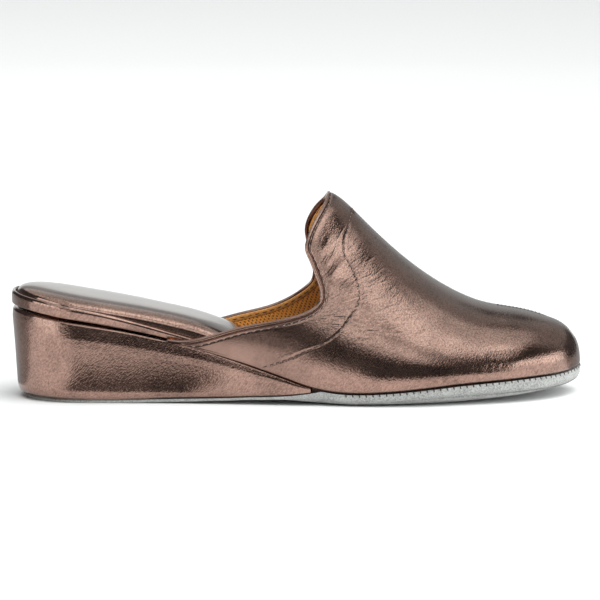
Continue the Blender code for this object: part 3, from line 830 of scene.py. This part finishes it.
def near_line(points, line, normals, reach):
    """Points within reach of a line: which they are, their distance, their share along it and their side."""
    low, high = line.min(0) - reach, line.max(0) + reach
    which = np.nonzero(((points > low) & (points < high)).all(1))[0]
    best = np.full(len(which), np.inf)
    nearest = np.zeros(len(which), int)
    for k, spot in enumerate(line):
        gap = ((points[which] - spot) ** 2).sum(1)
        closer = gap < best
        best[closer] = gap[closer]
        nearest[closer] = k
    inside = best < reach**2
    which, nearest, distance = which[inside], nearest[inside], np.sqrt(best[inside])
    along = np.gradient(line, axis=0)
    across = np.cross(along, normals)
    side = np.sign(((points[which] - line[nearest]) * across[nearest]).sum(1))
    return which, distance, nearest / (len(line) - 1), side


def bell(offset, width):
    return np.exp(-((offset / width) ** 2))


def points_and_normals(station, angle, side):
    return upper_point(station, angle, side), surface_frame(station, angle, side)[2]


def inset_line(side, shares, inset):
    """Points and normals of a line on the upper at a distance in from the collar edge."""
    station, angle, _ = collar_inset(side, shares, inset)
    return points_and_normals(station, angle, side)


def relief_lines():
    """The upper's worked lines: kind, side, points and normals of the collar edges, seams and creases.

    A crease also has its width and depth.
    """
    lines = []

    def add(kind, side, line, size=None):
        lines.append((kind, side, *points_and_normals(*line, side), size))

    seam = np.array(SEAM["station"])
    for side in SIDES:
        add("collar", side, collar_curve(side, np.linspace(0, 1, COLLAR_SPOTS)))
        add("seam", side, line_on_upper(seam, angle_at(seam, SEAM["height"]), side, SEAM_SPOTS))
    toe = np.array(TOE_SEAM["station"]), np.radians(TOE_SEAM["angle"])
    add("toe_seam", MEDIAL, line_on_upper(*toe, MEDIAL, TOE_SEAM_SPOTS))
    for side, first, second, third, width, depth in CREASES:
        stations, heights = np.array([first, second, third]).T
        count = int(math.dist(first, third) / LINE_STEP) + 2
        add("crease", side, line_on_upper(stations, angle_at(stations, heights), side, count), (width, depth))
    return lines


def ridges(table, offset):
    """The sum of a table's soft ridges at distances from their line."""
    return sum(rise * bell(offset - off, width) for off, rise, width in zip(*table.values()))


def relief(points, lines):
    """How far the leather stands out from the last at each point: rolled edge, seam, creases and tuck."""
    height = np.zeros(len(points))
    sewn = np.zeros(len(points))
    collar = np.full(len(points), FAR)
    for kind, turn, line, normals, size in lines:
        if kind == "collar":
            which, distance, _, _ = near_line(points, line, normals, COLLAR_REACH)
            collar[which] = np.minimum(collar[which], distance)
        elif kind in ("seam", "toe_seam"):
            which, distance, share, side = near_line(points, line, normals, SEAM_REACH)
            raised = ridges(SEAM_RELIEF, distance * side * turn) * smoothstep(0, SEAM_FADE, share)
            sewn[which] = np.where(np.abs(raised) > np.abs(sewn[which]), raised, sewn[which])
        else:
            width, depth = size
            which, distance, share, side = near_line(points, line, normals, CREASE_REACH * width)
            offset = distance * side * turn
            ridge = bell(offset - CREASE_RIDGE_OFF * width, CREASE_RIDGE_WIDTH * width)
            trough = bell(offset, width)
            taper = np.sin(math.pi * np.clip(share, 0, 1)) ** CREASE_TAPER
            height[which] += depth * taper * (CREASE_RIDGE_SHARE * ridge - trough)
    clear = points[:, 2] - feather(points[:, 0])
    height += smoothstep(0.0, COLLAR_FADE, clear) * ridges(COLLAR_RELIEF, collar)
    off, rise, width = TONGUE_BULGE
    place_share = smoothstep(*TONGUE_RISES, points[:, 2]) * smoothstep(*TONGUE_SIDE, np.abs(points[:, 1]))
    height += place_share * smoothstep(*TONGUE_EDGE, collar) * rise * bell(collar - off, width)
    fore = smoothstep(*WING_LOW, points[:, 0])
    reach = WING_TUCK_REACH + (FEATHER_TUCK_REACH - WING_TUCK_REACH) * fore
    tuck = FEATHER_TUCK * (WING_TUCK + (1 - WING_TUCK) * fore) * np.clip(1 - clear / reach, 0, 1) ** 2
    return height + sewn + WING_LIFT * (1 - fore) - tuck


def girth(stations, angles, side):
    """Length along the section from the ridge down to a point, for the lining's pattern."""
    steps = np.linspace(0, 1, GIRTH_STEPS)
    turn = angles[..., None] + (math.pi / 2 - angles[..., None]) * steps
    points = upper_point(np.broadcast_to(stations[..., None], turn.shape), turn, side)
    return np.linalg.norm(np.diff(points, axis=-2), axis=-1).sum(-1)


def upper_shell(front_rays, rear_rays, rows, step, edge, outer, inner, lines):
    """Points, faces and unrolled places of a closed shell that follows the upper between two depths."""
    grids = {side: upper_grid(side, front_rays, rear_rays, rows, edge) for side in SIDES}
    rays = front_rays + rear_rays
    size = (rays + 1) * (rows + 1)
    number = {
        LATERAL: np.arange(size).reshape(rays + 1, rows + 1),
        MEDIAL: np.arange(size, 2 * size).reshape(rays + 1, rows + 1),
    }
    number[MEDIAL][0, :] = number[LATERAL][0, :]
    number[MEDIAL][: front_rays + 1, -1] = number[LATERAL][: front_rays + 1, -1]
    for side in SIDES:
        number[side][-1, :] = number[side][-1, rows // 2]
    points = np.vstack([
        upper_point(stations, angles, side).reshape(-1, 3) for side, (stations, angles, _) in grids.items()
    ])
    unrolled = np.vstack([
        np.column_stack([stations.ravel(), side * girth(stations, angles, side).ravel()])
        for side, (stations, angles, _) in grids.items()
    ])

    def sheet(rows_used):
        quads = []
        for side in SIDES:
            cut = number[side][:, rows_used]
            corners = [cut[:-1, :-1], cut[1:, :-1], cut[1:, 1:], cut[:-1, 1:]]
            corners = corners if side == LATERAL else corners[::-1]
            quads.append(np.stack(corners, axis=-1).reshape(-1, 4))
        return np.vstack(quads)

    outer_quads = sheet(np.arange(0, rows + 1))
    inner_quads = sheet(np.arange(0, rows + 1, step))[:, ::-1]
    # The outer faces run round clockwise as seen from outside, so their own normals point inwards
    normals = -sheet_normals(points, outer_quads)
    raised = points - normals * outer
    if lines is not None:
        raised = raised + normals * relief(points, lines)[:, None]
    lowered = points - normals * inner

    # The open edge runs up the lateral collar, down the medial one and back along the feather line
    down = number[MEDIAL][front_rays + 1 :, -1]
    collar = np.concatenate([number[LATERAL][: front_rays - 1 : -1, -1], down])
    base = np.concatenate([number[MEDIAL][-2:0:-1, 0], number[LATERAL][:-1, 0]])
    loop = np.concatenate([collar, base])
    out = np.zeros((len(loop), 3))
    out[: rear_rays + 1] = grids[LATERAL][2][::-1]
    out[rear_rays + 1 : 2 * rear_rays + 1] = grids[MEDIAL][2][1:]
    total = len(points)
    middle = (raised[loop] + lowered[loop]) / 2
    half = (raised[loop] - lowered[loop]) / 2
    turns = np.arange(1, RIM_ROWS) / RIM_ROWS * math.pi
    rims = [middle + half * math.cos(turn) + out * math.sin(turn) for turn in turns]
    first = 2 * total
    chain = [loop]
    chain.extend(first + k * len(loop) + np.arange(len(loop)) for k in range(RIM_ROWS - 1))
    chain.append(loop + total)
    strips = [
        np.stack([low, np.roll(low, -1), np.roll(high, -1), high], axis=-1)
        for low, high in zip(chain, chain[1:])
    ]
    faces = np.vstack([outer_quads, inner_quads + total, *strips])
    everything = np.vstack([raised, lowered, *rims])
    places = np.vstack([unrolled, unrolled, *([unrolled[loop]] * (RIM_ROWS - 1))]) * UNROLLED_SCALE
    return compact(everything, faces, places)


def compact(points, faces, places):
    """Leaves out unused points, and the doubled corners of faces that have shrunk to triangles."""
    used, renumbered = np.unique(faces, return_inverse=True)
    faces = renumbered.reshape(faces.shape)
    tidy = []
    for face in faces.tolist():
        corners = list(dict.fromkeys(face))
        if len(corners) > 2:
            tidy.append(corners)
    return points[used], tidy, places[used]


def outsole_rings():
    """The suede sole: a thin sheet with its dish, arch and toe spring, and a rounded edge."""
    side_inset = WEDGE_WALL["side"][0]
    heel_inset = WEDGE_WALL["heel"][0]

    def ring(surface, share, inward=0.0, lift=0.0, fixed=0.0):
        def edge_round(s):
            return SOLE_ROUND * sole_thickness(s)

        return plan_ring(
            lambda s: surface(s, share) + lift * edge_round(s),
            RUNGS,
            share=share,
            start=heel_inset + inward * edge_round(0.0) + fixed,
            end=LENGTH - inward * edge_round(LENGTH) - fixed,
            inset=lambda s: side_inset * (1 - smoothstep(0, WEDGE_TIP, s)) + inward * edge_round(s) + fixed,
        )

    rings = [ring(sole_bottom, share) for share in SOLE_SHARES]
    turns = np.linspace(0, math.pi / 2, SOLE_TURNS)
    rings.extend(ring(sole_bottom, 1.0, 1 - math.sin(turn), 1 - math.cos(turn)) for turn in turns)
    rings.extend(ring(sole_top, 1.0, lift=lift, fixed=fixed) for lift, fixed in SOLE_LIP)
    rings.extend(ring(sole_top, share) for share in reversed(SOLE_SHARES))
    return loft_rings(rings, pointed_front=True)


def wedge_rings():
    """The covered wedge between sole and seat, with its drafted wall and turned-under lower edge."""

    def level(wall, share=1.0):
        def height(s):
            low = sole_top(s, share) + GAP
            high = seat(s, share) - GAP
            return low + (high - low) * wall

        return wedge_ring(height, wall, share)

    walls = end_spread(WALL_LEVELS)
    rings = [level(0.0, share) for share in WEDGE_SHARES]
    rings.extend(level(wall) for wall in walls)
    rings.extend(level(1.0, share) for share in reversed(WEDGE_SHARES))
    return loft_rings(rings, pointed_front=False)


def insole_rings():
    """The padded insole: its underside lies in the seat, its top is a soft crown."""
    edge = DISH["share"][-2]
    end = LENGTH - PAD_TOE_INSET

    def under(share):
        return plan_ring(
            lambda s: seat(s, edge * share), PAD_RUNGS, share, PAD["inset"][0], end, pad_inset
        )

    def crown(turn):
        share = math.cos(turn) ** (2 / PAD_POWER)
        rise = math.sin(turn) ** (2 / PAD_POWER)

        def height(s):
            corner = seat(s, edge) + pad_side(s)
            return corner + (seat(s, 0.0) + pad_thickness(s) - corner) * rise

        return plan_ring(height, PAD_RUNGS, share, PAD["inset"][0], end, pad_inset)

    rings = [under(share) for share in PAD_SHARES]
    rings.extend(crown(math.radians(turn)) for turn in CROWN_TURNS)
    return loft_rings(rings, pointed_front=True)


def rand_band():
    """The band around the heel seat, with a rolled top edge, as a loft of its section along the seat."""
    along = np.linspace(-1, 1, RAND_COLUMNS + 1)
    station = RAND_END * along**2
    side = np.where(along < 0, LATERAL, MEDIAL)
    inset = np.interp(station, RAND["station"], RAND["inset"])
    lean = np.interp(station, RAND["station"], RAND["lean"])
    width = np.where(
        along < 0, half_width(station, LATERAL, inset=inset), half_width(station, MEDIAL, inset=inset)
    )
    foot = np.column_stack([station, axis_of(station) + side * width, seat(station, 1.0)])
    tangent = np.gradient(foot[:, :2], axis=0)
    inward = unit(np.column_stack([tangent[:, 1], -tangent[:, 0], np.zeros(len(tangent))]))
    up = np.array(RAND_SECTION["up"])
    sections = []
    for k, height in enumerate(rand_height(station)):
        depth = RAND_SECTION["in"] - lean[k] * up
        sections.append(foot[k] + np.outer(depth, inward[k]) + np.outer(up * height, UP))
    return loft_sections(sections)


def tape_shift(shares):
    """How much farther from the edge the tape lies on the tongue, where the leather is turned in deeper."""
    return TAPE_SHIFT * (1 - smoothstep(*TAPE_SHIFT_ENDS, shares))


def collar_tape():
    """The tape inside the collar: a loft of its flat section from one wing over the tongue to the other."""
    shares = np.linspace(0, TAPE_END, TAPE_COLUMNS)
    deeper = tape_shift(shares)
    halves = []
    for side in SIDES:
        rows = []
        for off, depth in zip(*TAPE.values()):
            points, normals = inset_line(side, shares, off + deeper)
            rows.append(points - normals * depth)
        halves.append(np.stack(rows, axis=1))
    return loft_sections(np.concatenate([halves[0][::-1], halves[1][1:]]))


def stitch_row(centres, along, normals, name):
    """One joined mesh of stitches: each is a rounded thread that dips at both ends."""
    _, length, width, height, lean, lift = STITCHES[name]
    run = np.linspace(-1, 1, THREAD_RINGS)
    turn = np.arange(THREAD_SIDES) / THREAD_SIDES * 2 * math.pi
    fat = np.sqrt(np.clip(1 - (THREAD_TAPER * run) ** 2, 0, 1))
    ahead = np.repeat(run * length / 2, THREAD_SIDES)
    aside = np.outer(fat, np.cos(turn)).ravel() * width / 2
    dip = np.repeat(run**2, THREAD_SIDES) * height * THREAD_DIP
    above = np.outer(fat, np.sin(turn)).ravel() * height / 2 - dip + lift
    local = np.column_stack([ahead, aside, above])
    _, faces = loft_sections(local.reshape(THREAD_RINGS, THREAD_SIDES, 3))
    points, all_faces = [], []
    for k, (centre, forward, normal) in enumerate(zip(centres, along, normals)):
        across = unit(np.cross(normal, forward))
        forward = unit(np.cross(across, normal))
        turned = forward * math.cos(lean) + across * math.sin(lean)
        across = unit(np.cross(normal, turned))
        points.append(centre + local @ np.stack([turned, across, normal]))
        all_faces.extend([corner + k * len(local) for corner in face] for face in faces)
    return np.vstack(points), all_faces


def node(tree, kind, inputs=None, **settings):
    """Adds a shader node, with its settings, and its inputs as values or as sockets to link."""
    made = tree.nodes.new(kind)
    for name, value in settings.items():
        setattr(made, name, value)
    for name, value in (inputs or {}).items():
        if isinstance(value, bpy.types.NodeSocket):
            tree.links.new(value, made.inputs[name])
        else:
            made.inputs[name].default_value = value
    return made


def calculate(tree, operation, first, second=0.0):
    return node(tree, "ShaderNodeMath", {0: first, 1: second}, operation=operation).outputs[0]


def vector_step(tree, operation, first, second):
    return node(tree, "ShaderNodeVectorMath", {0: first, 1: second}, operation=operation).outputs[0]


def noise(tree, spot, scale, detail):
    inputs = {"Vector": spot, "Scale": scale, "Detail": detail}
    return node(tree, "ShaderNodeTexNoise", inputs).outputs["Fac"]


def blend_numbers(tree, sockets, weights):
    """The sum of sockets, each times its weight."""
    total = 0.0
    for socket, weight in zip(sockets, weights):
        step = {0: socket, 1: weight, 2: total}
        total = node(tree, "ShaderNodeMath", step, operation="MULTIPLY_ADD").outputs[0]
    return total


def mix_colours(tree, factor, low, high):
    """A colour between two others, each a colour or a socket."""
    mix = node(tree, "ShaderNodeMix", {"Factor": factor, 6: low, 7: high}, data_type="RGBA")
    return mix.outputs[2]


def spread(tree, socket, low, high, to_low=0.0, to_high=1.0):
    """Maps a range of a socket's values to another range."""
    inputs = {"Value": socket, "From Min": low, "From Max": high, "To Min": to_low, "To Max": to_high}
    return node(tree, "ShaderNodeMapRange", inputs).outputs[0]


def new_material(name, **constants):
    """A material whose shader has these constants on its own sockets, with its nodes and its shader."""
    material = bpy.data.materials.new(name)
    material.use_nodes = True
    tree = material.node_tree
    shader = tree.nodes["Principled BSDF"]
    for socket, value in constants.items():
        shader.inputs[socket.replace("_", " ").title()].default_value = value
    return material, tree, shader


def dress(tree, shader, colour, height, strength, depth):
    """Gives a shader its colour and the bump of a height."""
    bump = node(tree, "ShaderNodeBump", {"Height": height, "Strength": strength, "Distance": depth})
    tree.links.new(colour, shader.inputs["Base Color"])
    tree.links.new(bump.outputs["Normal"], shader.inputs["Normal"])


def fan_wrinkles(tree, spot):
    """Narrow grooves that fan out from the throat, as depths from 0 down to -1."""
    away = vector_step(tree, "SUBTRACT", spot, FAN_MIDDLE)
    flat = vector_step(tree, "MULTIPLY", away, (1.0, 0.0, 1.0))
    reach = node(tree, "ShaderNodeVectorMath", {0: flat}, operation="LENGTH").outputs["Value"]
    parts = node(tree, "ShaderNodeSeparateXYZ", {"Vector": flat}).outputs
    turn = calculate(tree, "ARCTAN2", parts["Z"], parts["X"])
    rolled = node(tree, "ShaderNodeCombineXYZ", {"X": turn, "Y": reach}).outputs[0]
    rolled = vector_step(tree, "MULTIPLY", rolled, (FAN_TURNS, FAN_RUNS, 1.0))
    middle = calculate(tree, "SUBTRACT", noise(tree, rolled, 1.0, FAN_DETAIL), NOISE_MIDDLE)
    depth = spread(tree, calculate(tree, "ABSOLUTE", middle), 0.0, FAN_WIDTH, -1.0, 0.0)
    for value, (begin, full, fade, end) in ((reach, FAN_REACH), (turn, FAN_ANGLE)):
        for low, high in ((begin, full), (end, fade)):
            depth = calculate(tree, "MULTIPLY", depth, spread(tree, value, low, high))
    return depth


def leather_material(name, grain_strength, gloss, smooth_part=None):
    """Bronze foil over finely pebbled leather: slanting grain and wrinkles, and a soft uneven gloss.

    A smooth part is a range along the shoe over which the grain grows from faint to full, and it brings the
    throat's fine wrinkles with it.
    """
    material, tree, shader = new_material(name, **FOIL)
    spot = node(tree, "ShaderNodeTexCoord").outputs["Object"]

    def slanted(size):
        inputs = {"Vector": spot, "Rotation": GRAIN_TURN, "Scale": size}
        return node(tree, "ShaderNodeMapping", inputs, vector_type="TEXTURE").outputs["Vector"]

    cells = {"Vector": slanted(PEBBLE_SIZE), "Scale": 1.0, "Smoothness": PEBBLE_SOFTNESS}
    pebble = node(tree, "ShaderNodeTexVoronoi", cells, feature="SMOOTH_F1").outputs["Distance"]
    wrinkle = noise(tree, slanted(WRINKLE_SIZE), 1.0, WRINKLE_DETAIL)
    fine = noise(tree, spot, *FINE)
    blotch = noise(tree, spot, *BLOTCH)
    grain = blend_numbers(tree, (pebble, wrinkle, fine), GRAIN_PARTS)
    if smooth_part:
        along = node(tree, "ShaderNodeSeparateXYZ", {"Vector": spot}).outputs["X"]
        grain = calculate(tree, "MULTIPLY", grain, spread(tree, along, *smooth_part, FAINT_GRAIN, 1.0))
    # Colour: darker in the grain's valleys as painted shade, and uneven with blotches and fine noise
    valley_shade_and_tone = blend_numbers(tree, (grain, blotch, fine), VALLEY_SHADE_AND_TONE_PARTS)
    colour = mix_colours(tree, spread(tree, valley_shade_and_tone, *VALLEY_SHADE_AND_TONE_RANGE), FOIL_DARK, FOIL_LIGHT)
    shine = spread(tree, blend_numbers(tree, (blotch, fine), SHINE_PARTS), *SHINE_RANGE, *gloss)
    if smooth_part:
        grain = blend_numbers(tree, (grain, fan_wrinkles(tree, spot)), (1.0, FAN_DEPTH))
    dress(tree, shader, colour, grain, grain_strength, GRAIN_DEPTH)
    tree.links.new(shine, shader.inputs["Roughness"])
    return material


def lining_material():
    """Tan spacer mesh: slanting rows of small holes."""
    material, tree, shader = new_material("tan_mesh_lining", **LINING_CLOTH)
    spot = node(tree, "ShaderNodeUVMap", uv_map="unrolled").outputs["UV"]
    turned = {"Vector": spot, "Rotation": (0.0, 0.0, MESH_TURN), "Scale": (MESH_HOLES, MESH_HOLES, 1.0)}
    rows = node(tree, "ShaderNodeMapping", turned).outputs["Vector"]
    cells = {"Vector": rows, "Scale": 1.0, "Randomness": MESH_UNEVEN}
    holes = node(tree, "ShaderNodeTexVoronoi", cells, voronoi_dimensions="2D").outputs["Distance"]
    web = spread(tree, holes, *WEB_RANGE)
    tone = blend_numbers(tree, (web, noise(tree, spot, *FUZZ)), LINING_PARTS)
    colour = mix_colours(tree, spread(tree, tone, *LINING_RANGE), LINING_DARK, LINING_LIGHT)
    dress(tree, shader, colour, tone, *LINING_BUMP)
    return material


def speckled_material(name):
    """Suede, tape or thread: a colour and a fine relief from layers of noise."""
    look = SPECKLED[name]
    material, tree, shader = new_material(name, **look["constants"])
    spot = node(tree, "ShaderNodeTexCoord").outputs["Object"]
    layers = [noise(tree, spot, scale, detail) for scale, detail, _ in look["noise"]]
    tone = blend_numbers(tree, layers, [weight for _, _, weight in look["noise"]])
    colour = mix_colours(tree, spread(tree, tone, *look["range"]), *look["colours"])
    dress(tree, shader, colour, tone, *look["bump"])
    return material


def even_spots(points, pitch, start=0.0, end=0.0):
    """Evenly spaced places on a line of points: the points, the line's direction and its share there."""
    run = run_along(points)
    at = np.arange(start, run[-1] - end, pitch)
    ahead = along_line(at + STITCH_LOOK, run, points)
    behind = along_line(at - STITCH_LOOK, run, points)
    return along_line(at, run, points), unit(ahead - behind), at / run[-1]


def stitched(tracks, name, start):
    """One mesh of stitches along tracks of points and normals. The start is a share of the pitch."""
    pitch = STITCHES[name][0]
    centres, forwards, outs = [], [], []
    for points, normals in tracks:
        spots, forward, share = even_spots(points, pitch, start * pitch, pitch / 2)
        centres.append(spots)
        forwards.append(forward)
        outs.append(unit(along_line(share, np.linspace(0, 1, len(points)), normals)))
    return stitch_row(np.vstack(centres), np.vstack(forwards), np.vstack(outs), name)


def sewn_lines(lines, threads):
    """The stitch rows on the collar, inside it, on the seams and along the sole's edge."""
    collar, tape = [], []
    shares = np.linspace(*SEWN_COLLAR, STITCH_SPOTS)
    for side in SIDES:
        off = np.interp(shares, COLLAR_STITCH["collar"], COLLAR_STITCH["off"])
        points, normals = inset_line(side, shares, off)
        collar.append((points + normals * relief(points, lines)[:, None], normals))
        points, normals = inset_line(side, shares, TAPE_STITCH_OFF + tape_shift(shares))
        tape.append((points - normals * TAPE_STITCH_DEPTH, -normals))
    seams = {"seam": [], "toe_seam": []}
    for kind, _, points, normals, _ in lines:
        if kind in seams:
            seams[kind].append((points + normals * relief(points, lines)[:, None], normals))
    # The hole rows are dark thread laid between the stitches: a painted shade of the stitch holes
    rows = (
        ("collar_stitches", collar, 0.5, "bronze_thread"),
        ("collar_hole_shade", collar, 1.0, "dark_thread_and_hole_shade"),
        ("seam_stitches", seams["seam"], 0.5, "bronze_thread"),
        ("seam_hole_shade", seams["seam"], 1.0, "dark_thread_and_hole_shade"),
        ("toe_stitches", seams["toe_seam"], 0.5, "dark_thread_and_hole_shade"),
        ("tape_stitches", tape, 0.5, "brown_thread"),
    )
    for name, tracks, start, thread in rows:
        add_piece(name, *stitched(tracks, name, start), threads[thread])
    outline = plan_ring(lambda s: sole_top(s, 1.0) - SOLE_STITCH_DROP, OUTLINE_RUNGS)
    outline = outline[outline[:, 0] > SOLE_STITCH_START]
    spots, forward, _ = even_spots(outline, STITCHES["sole_stitches"][0])
    out = unit(np.column_stack([forward[:, 1], -forward[:, 0], np.zeros(len(forward))]))
    up = np.tile(UP, (len(spots), 1))
    add_piece("sole_stitches", *stitch_row(spots, up, out, "sole_stitches"), threads["dark_thread_and_hole_shade"])


def aim(thing, place_at, target):
    """Puts a light or the camera at a place, facing a target."""
    thing.location = place_at
    thing.rotation_euler = (Vector(target) - Vector(place_at)).to_track_quat("-Z", "Y").to_euler()


def softbox(name, place_at, target, size, brightness):
    """A soft area light of a brightness that does not change with its size."""
    light = bpy.data.lights.new(name, "AREA")
    light.shape = "RECTANGLE"
    light.size, light.size_y = size
    light.energy = brightness * math.pi * size[0] * size[1]
    light.color = LIGHT_TINT
    lamp = add_object(name, light)
    aim(lamp, place_at, target)
    lamp.visible_camera = False
    lamp.visible_diffuse = name not in GLOSS_ONLY


def plain_material(name, colour, roughness):
    material, _, shader = new_material(name, roughness=roughness)
    shader.inputs["Base Color"].default_value = (*colour, 1)
    return material


def stage_sheet(name, points, faces, material):
    mesh = bpy.data.meshes.new(name)
    mesh.from_pydata(points, [], faces)
    mesh.materials.append(material)
    sheet = add_object(name, mesh)
    return sheet


def set_stage():
    """Pale floor, soft lights, and flags on the floor that only show as reflections."""
    half = FLOOR_SIZE / 2
    corners = [(-half, -half, 0), (half, -half, 0), (half, half, 0), (-half, half, 0)]
    stage_sheet("floor", corners, [(0, 1, 2, 3)], plain_material("pale_floor", FLOOR_COLOUR, FLOOR_ROUGHNESS))
    for name, outline in FLAGS.items():
        corners = [(*corner, FLAG_HEIGHT) for corner in outline]
        card = plain_material(f"{name}_card", (FLAG_TONES[name],) * 3, FLAG_ROUGHNESS)
        flag = stage_sheet(name, corners, [tuple(range(len(corners)))], card)
        flag.visible_camera = False
        flag.visible_diffuse = False
        flag.visible_shadow = False
    for light in LIGHTS:
        softbox(*light)
    wash = bpy.data.lights.new("wash", "SUN")
    wash.energy = WASH
    wash.angle = WASH_SPREAD
    lamp = add_object("wash", wash)
    aim(lamp, WASH_FROM, (0.0, 0.0, 0.0))
    lamp.visible_glossy = False
    world = bpy.data.worlds.new("studio")
    bpy.context.scene.world = world
    world.use_nodes = True
    tree = world.node_tree
    backdrop = tree.nodes["Background"]
    backdrop.inputs["Color"].default_value = (*BACKDROP_COLOUR, 1)
    rays = node(tree, "ShaderNodeLightPath").outputs["Is Camera Ray"]
    tree.links.new(spread(tree, rays, 0, 1, ROOM_LIGHT, 1.0), backdrop.inputs["Strength"])
    bpy.context.scene.view_settings.view_transform = "Standard"


def set_camera():
    """The photograph's view: the lateral side from a little above, with a long lens."""
    camera = bpy.data.cameras.new("camera")
    camera.sensor_width = SENSOR
    camera.lens = SENSOR * CAMERA_DISTANCE / FRAME_WIDTH
    holder = add_object("camera", camera)
    away = Vector((0, -math.cos(ELEVATION), math.sin(ELEVATION))) * CAMERA_DISTANCE
    aim(holder, Vector(TARGET) + away, TARGET)
    holder.rotation_euler.rotate_axis("Z", CAMERA_ROLL)
    bpy.context.scene.camera = holder


def main():
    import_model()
    grained = leather_material("grained_foil_leather", *GRAINED)
    vamp = leather_material("vamp_foil_leather", *GRAINED, SMOOTH_WINGS)
    smooth = leather_material("smooth_foil_leather", *SMOOTH)
    speckled = {name: speckled_material(name) for name in SPECKLED}
    lines = relief_lines()
    points, faces, _ = upper_shell(
        FRONT_RAYS, REAR_RAYS, UPPER_ROWS, INNER_STEP, LEATHER_EDGE, 0.0, LEATHER, lines
    )
    add_piece("upper_leather", points, faces, vamp, "upper", "bronze_leather")
    points, faces, places = upper_shell(
        LINING_FRONT, LINING_REAR, LINING_ROWS, 1, LINING_EDGE, LEATHER + LINING_GAP, WALL, None
    )
    add_piece("upper_lining", points, faces, lining_material(), unrolled=places)
    add_piece("collar_tape", *collar_tape(), speckled["tan_tape"])
    add_piece("suede_sole", *outsole_rings(), speckled["pale_grey_suede"], "outsole", "grey_suede")
    add_piece("wedge_cover", *wedge_rings(), grained, "wedge_heel", "bronze_leather")
    add_piece("rand_band", *rand_band(), smooth, "heel_rand", "bronze_leather")
    pad = add_piece("insole_pad", *insole_rings(), smooth, "insole", "bronze_leather")
    sewn_lines(lines, speckled)
    set_stage()
    set_camera()


main()
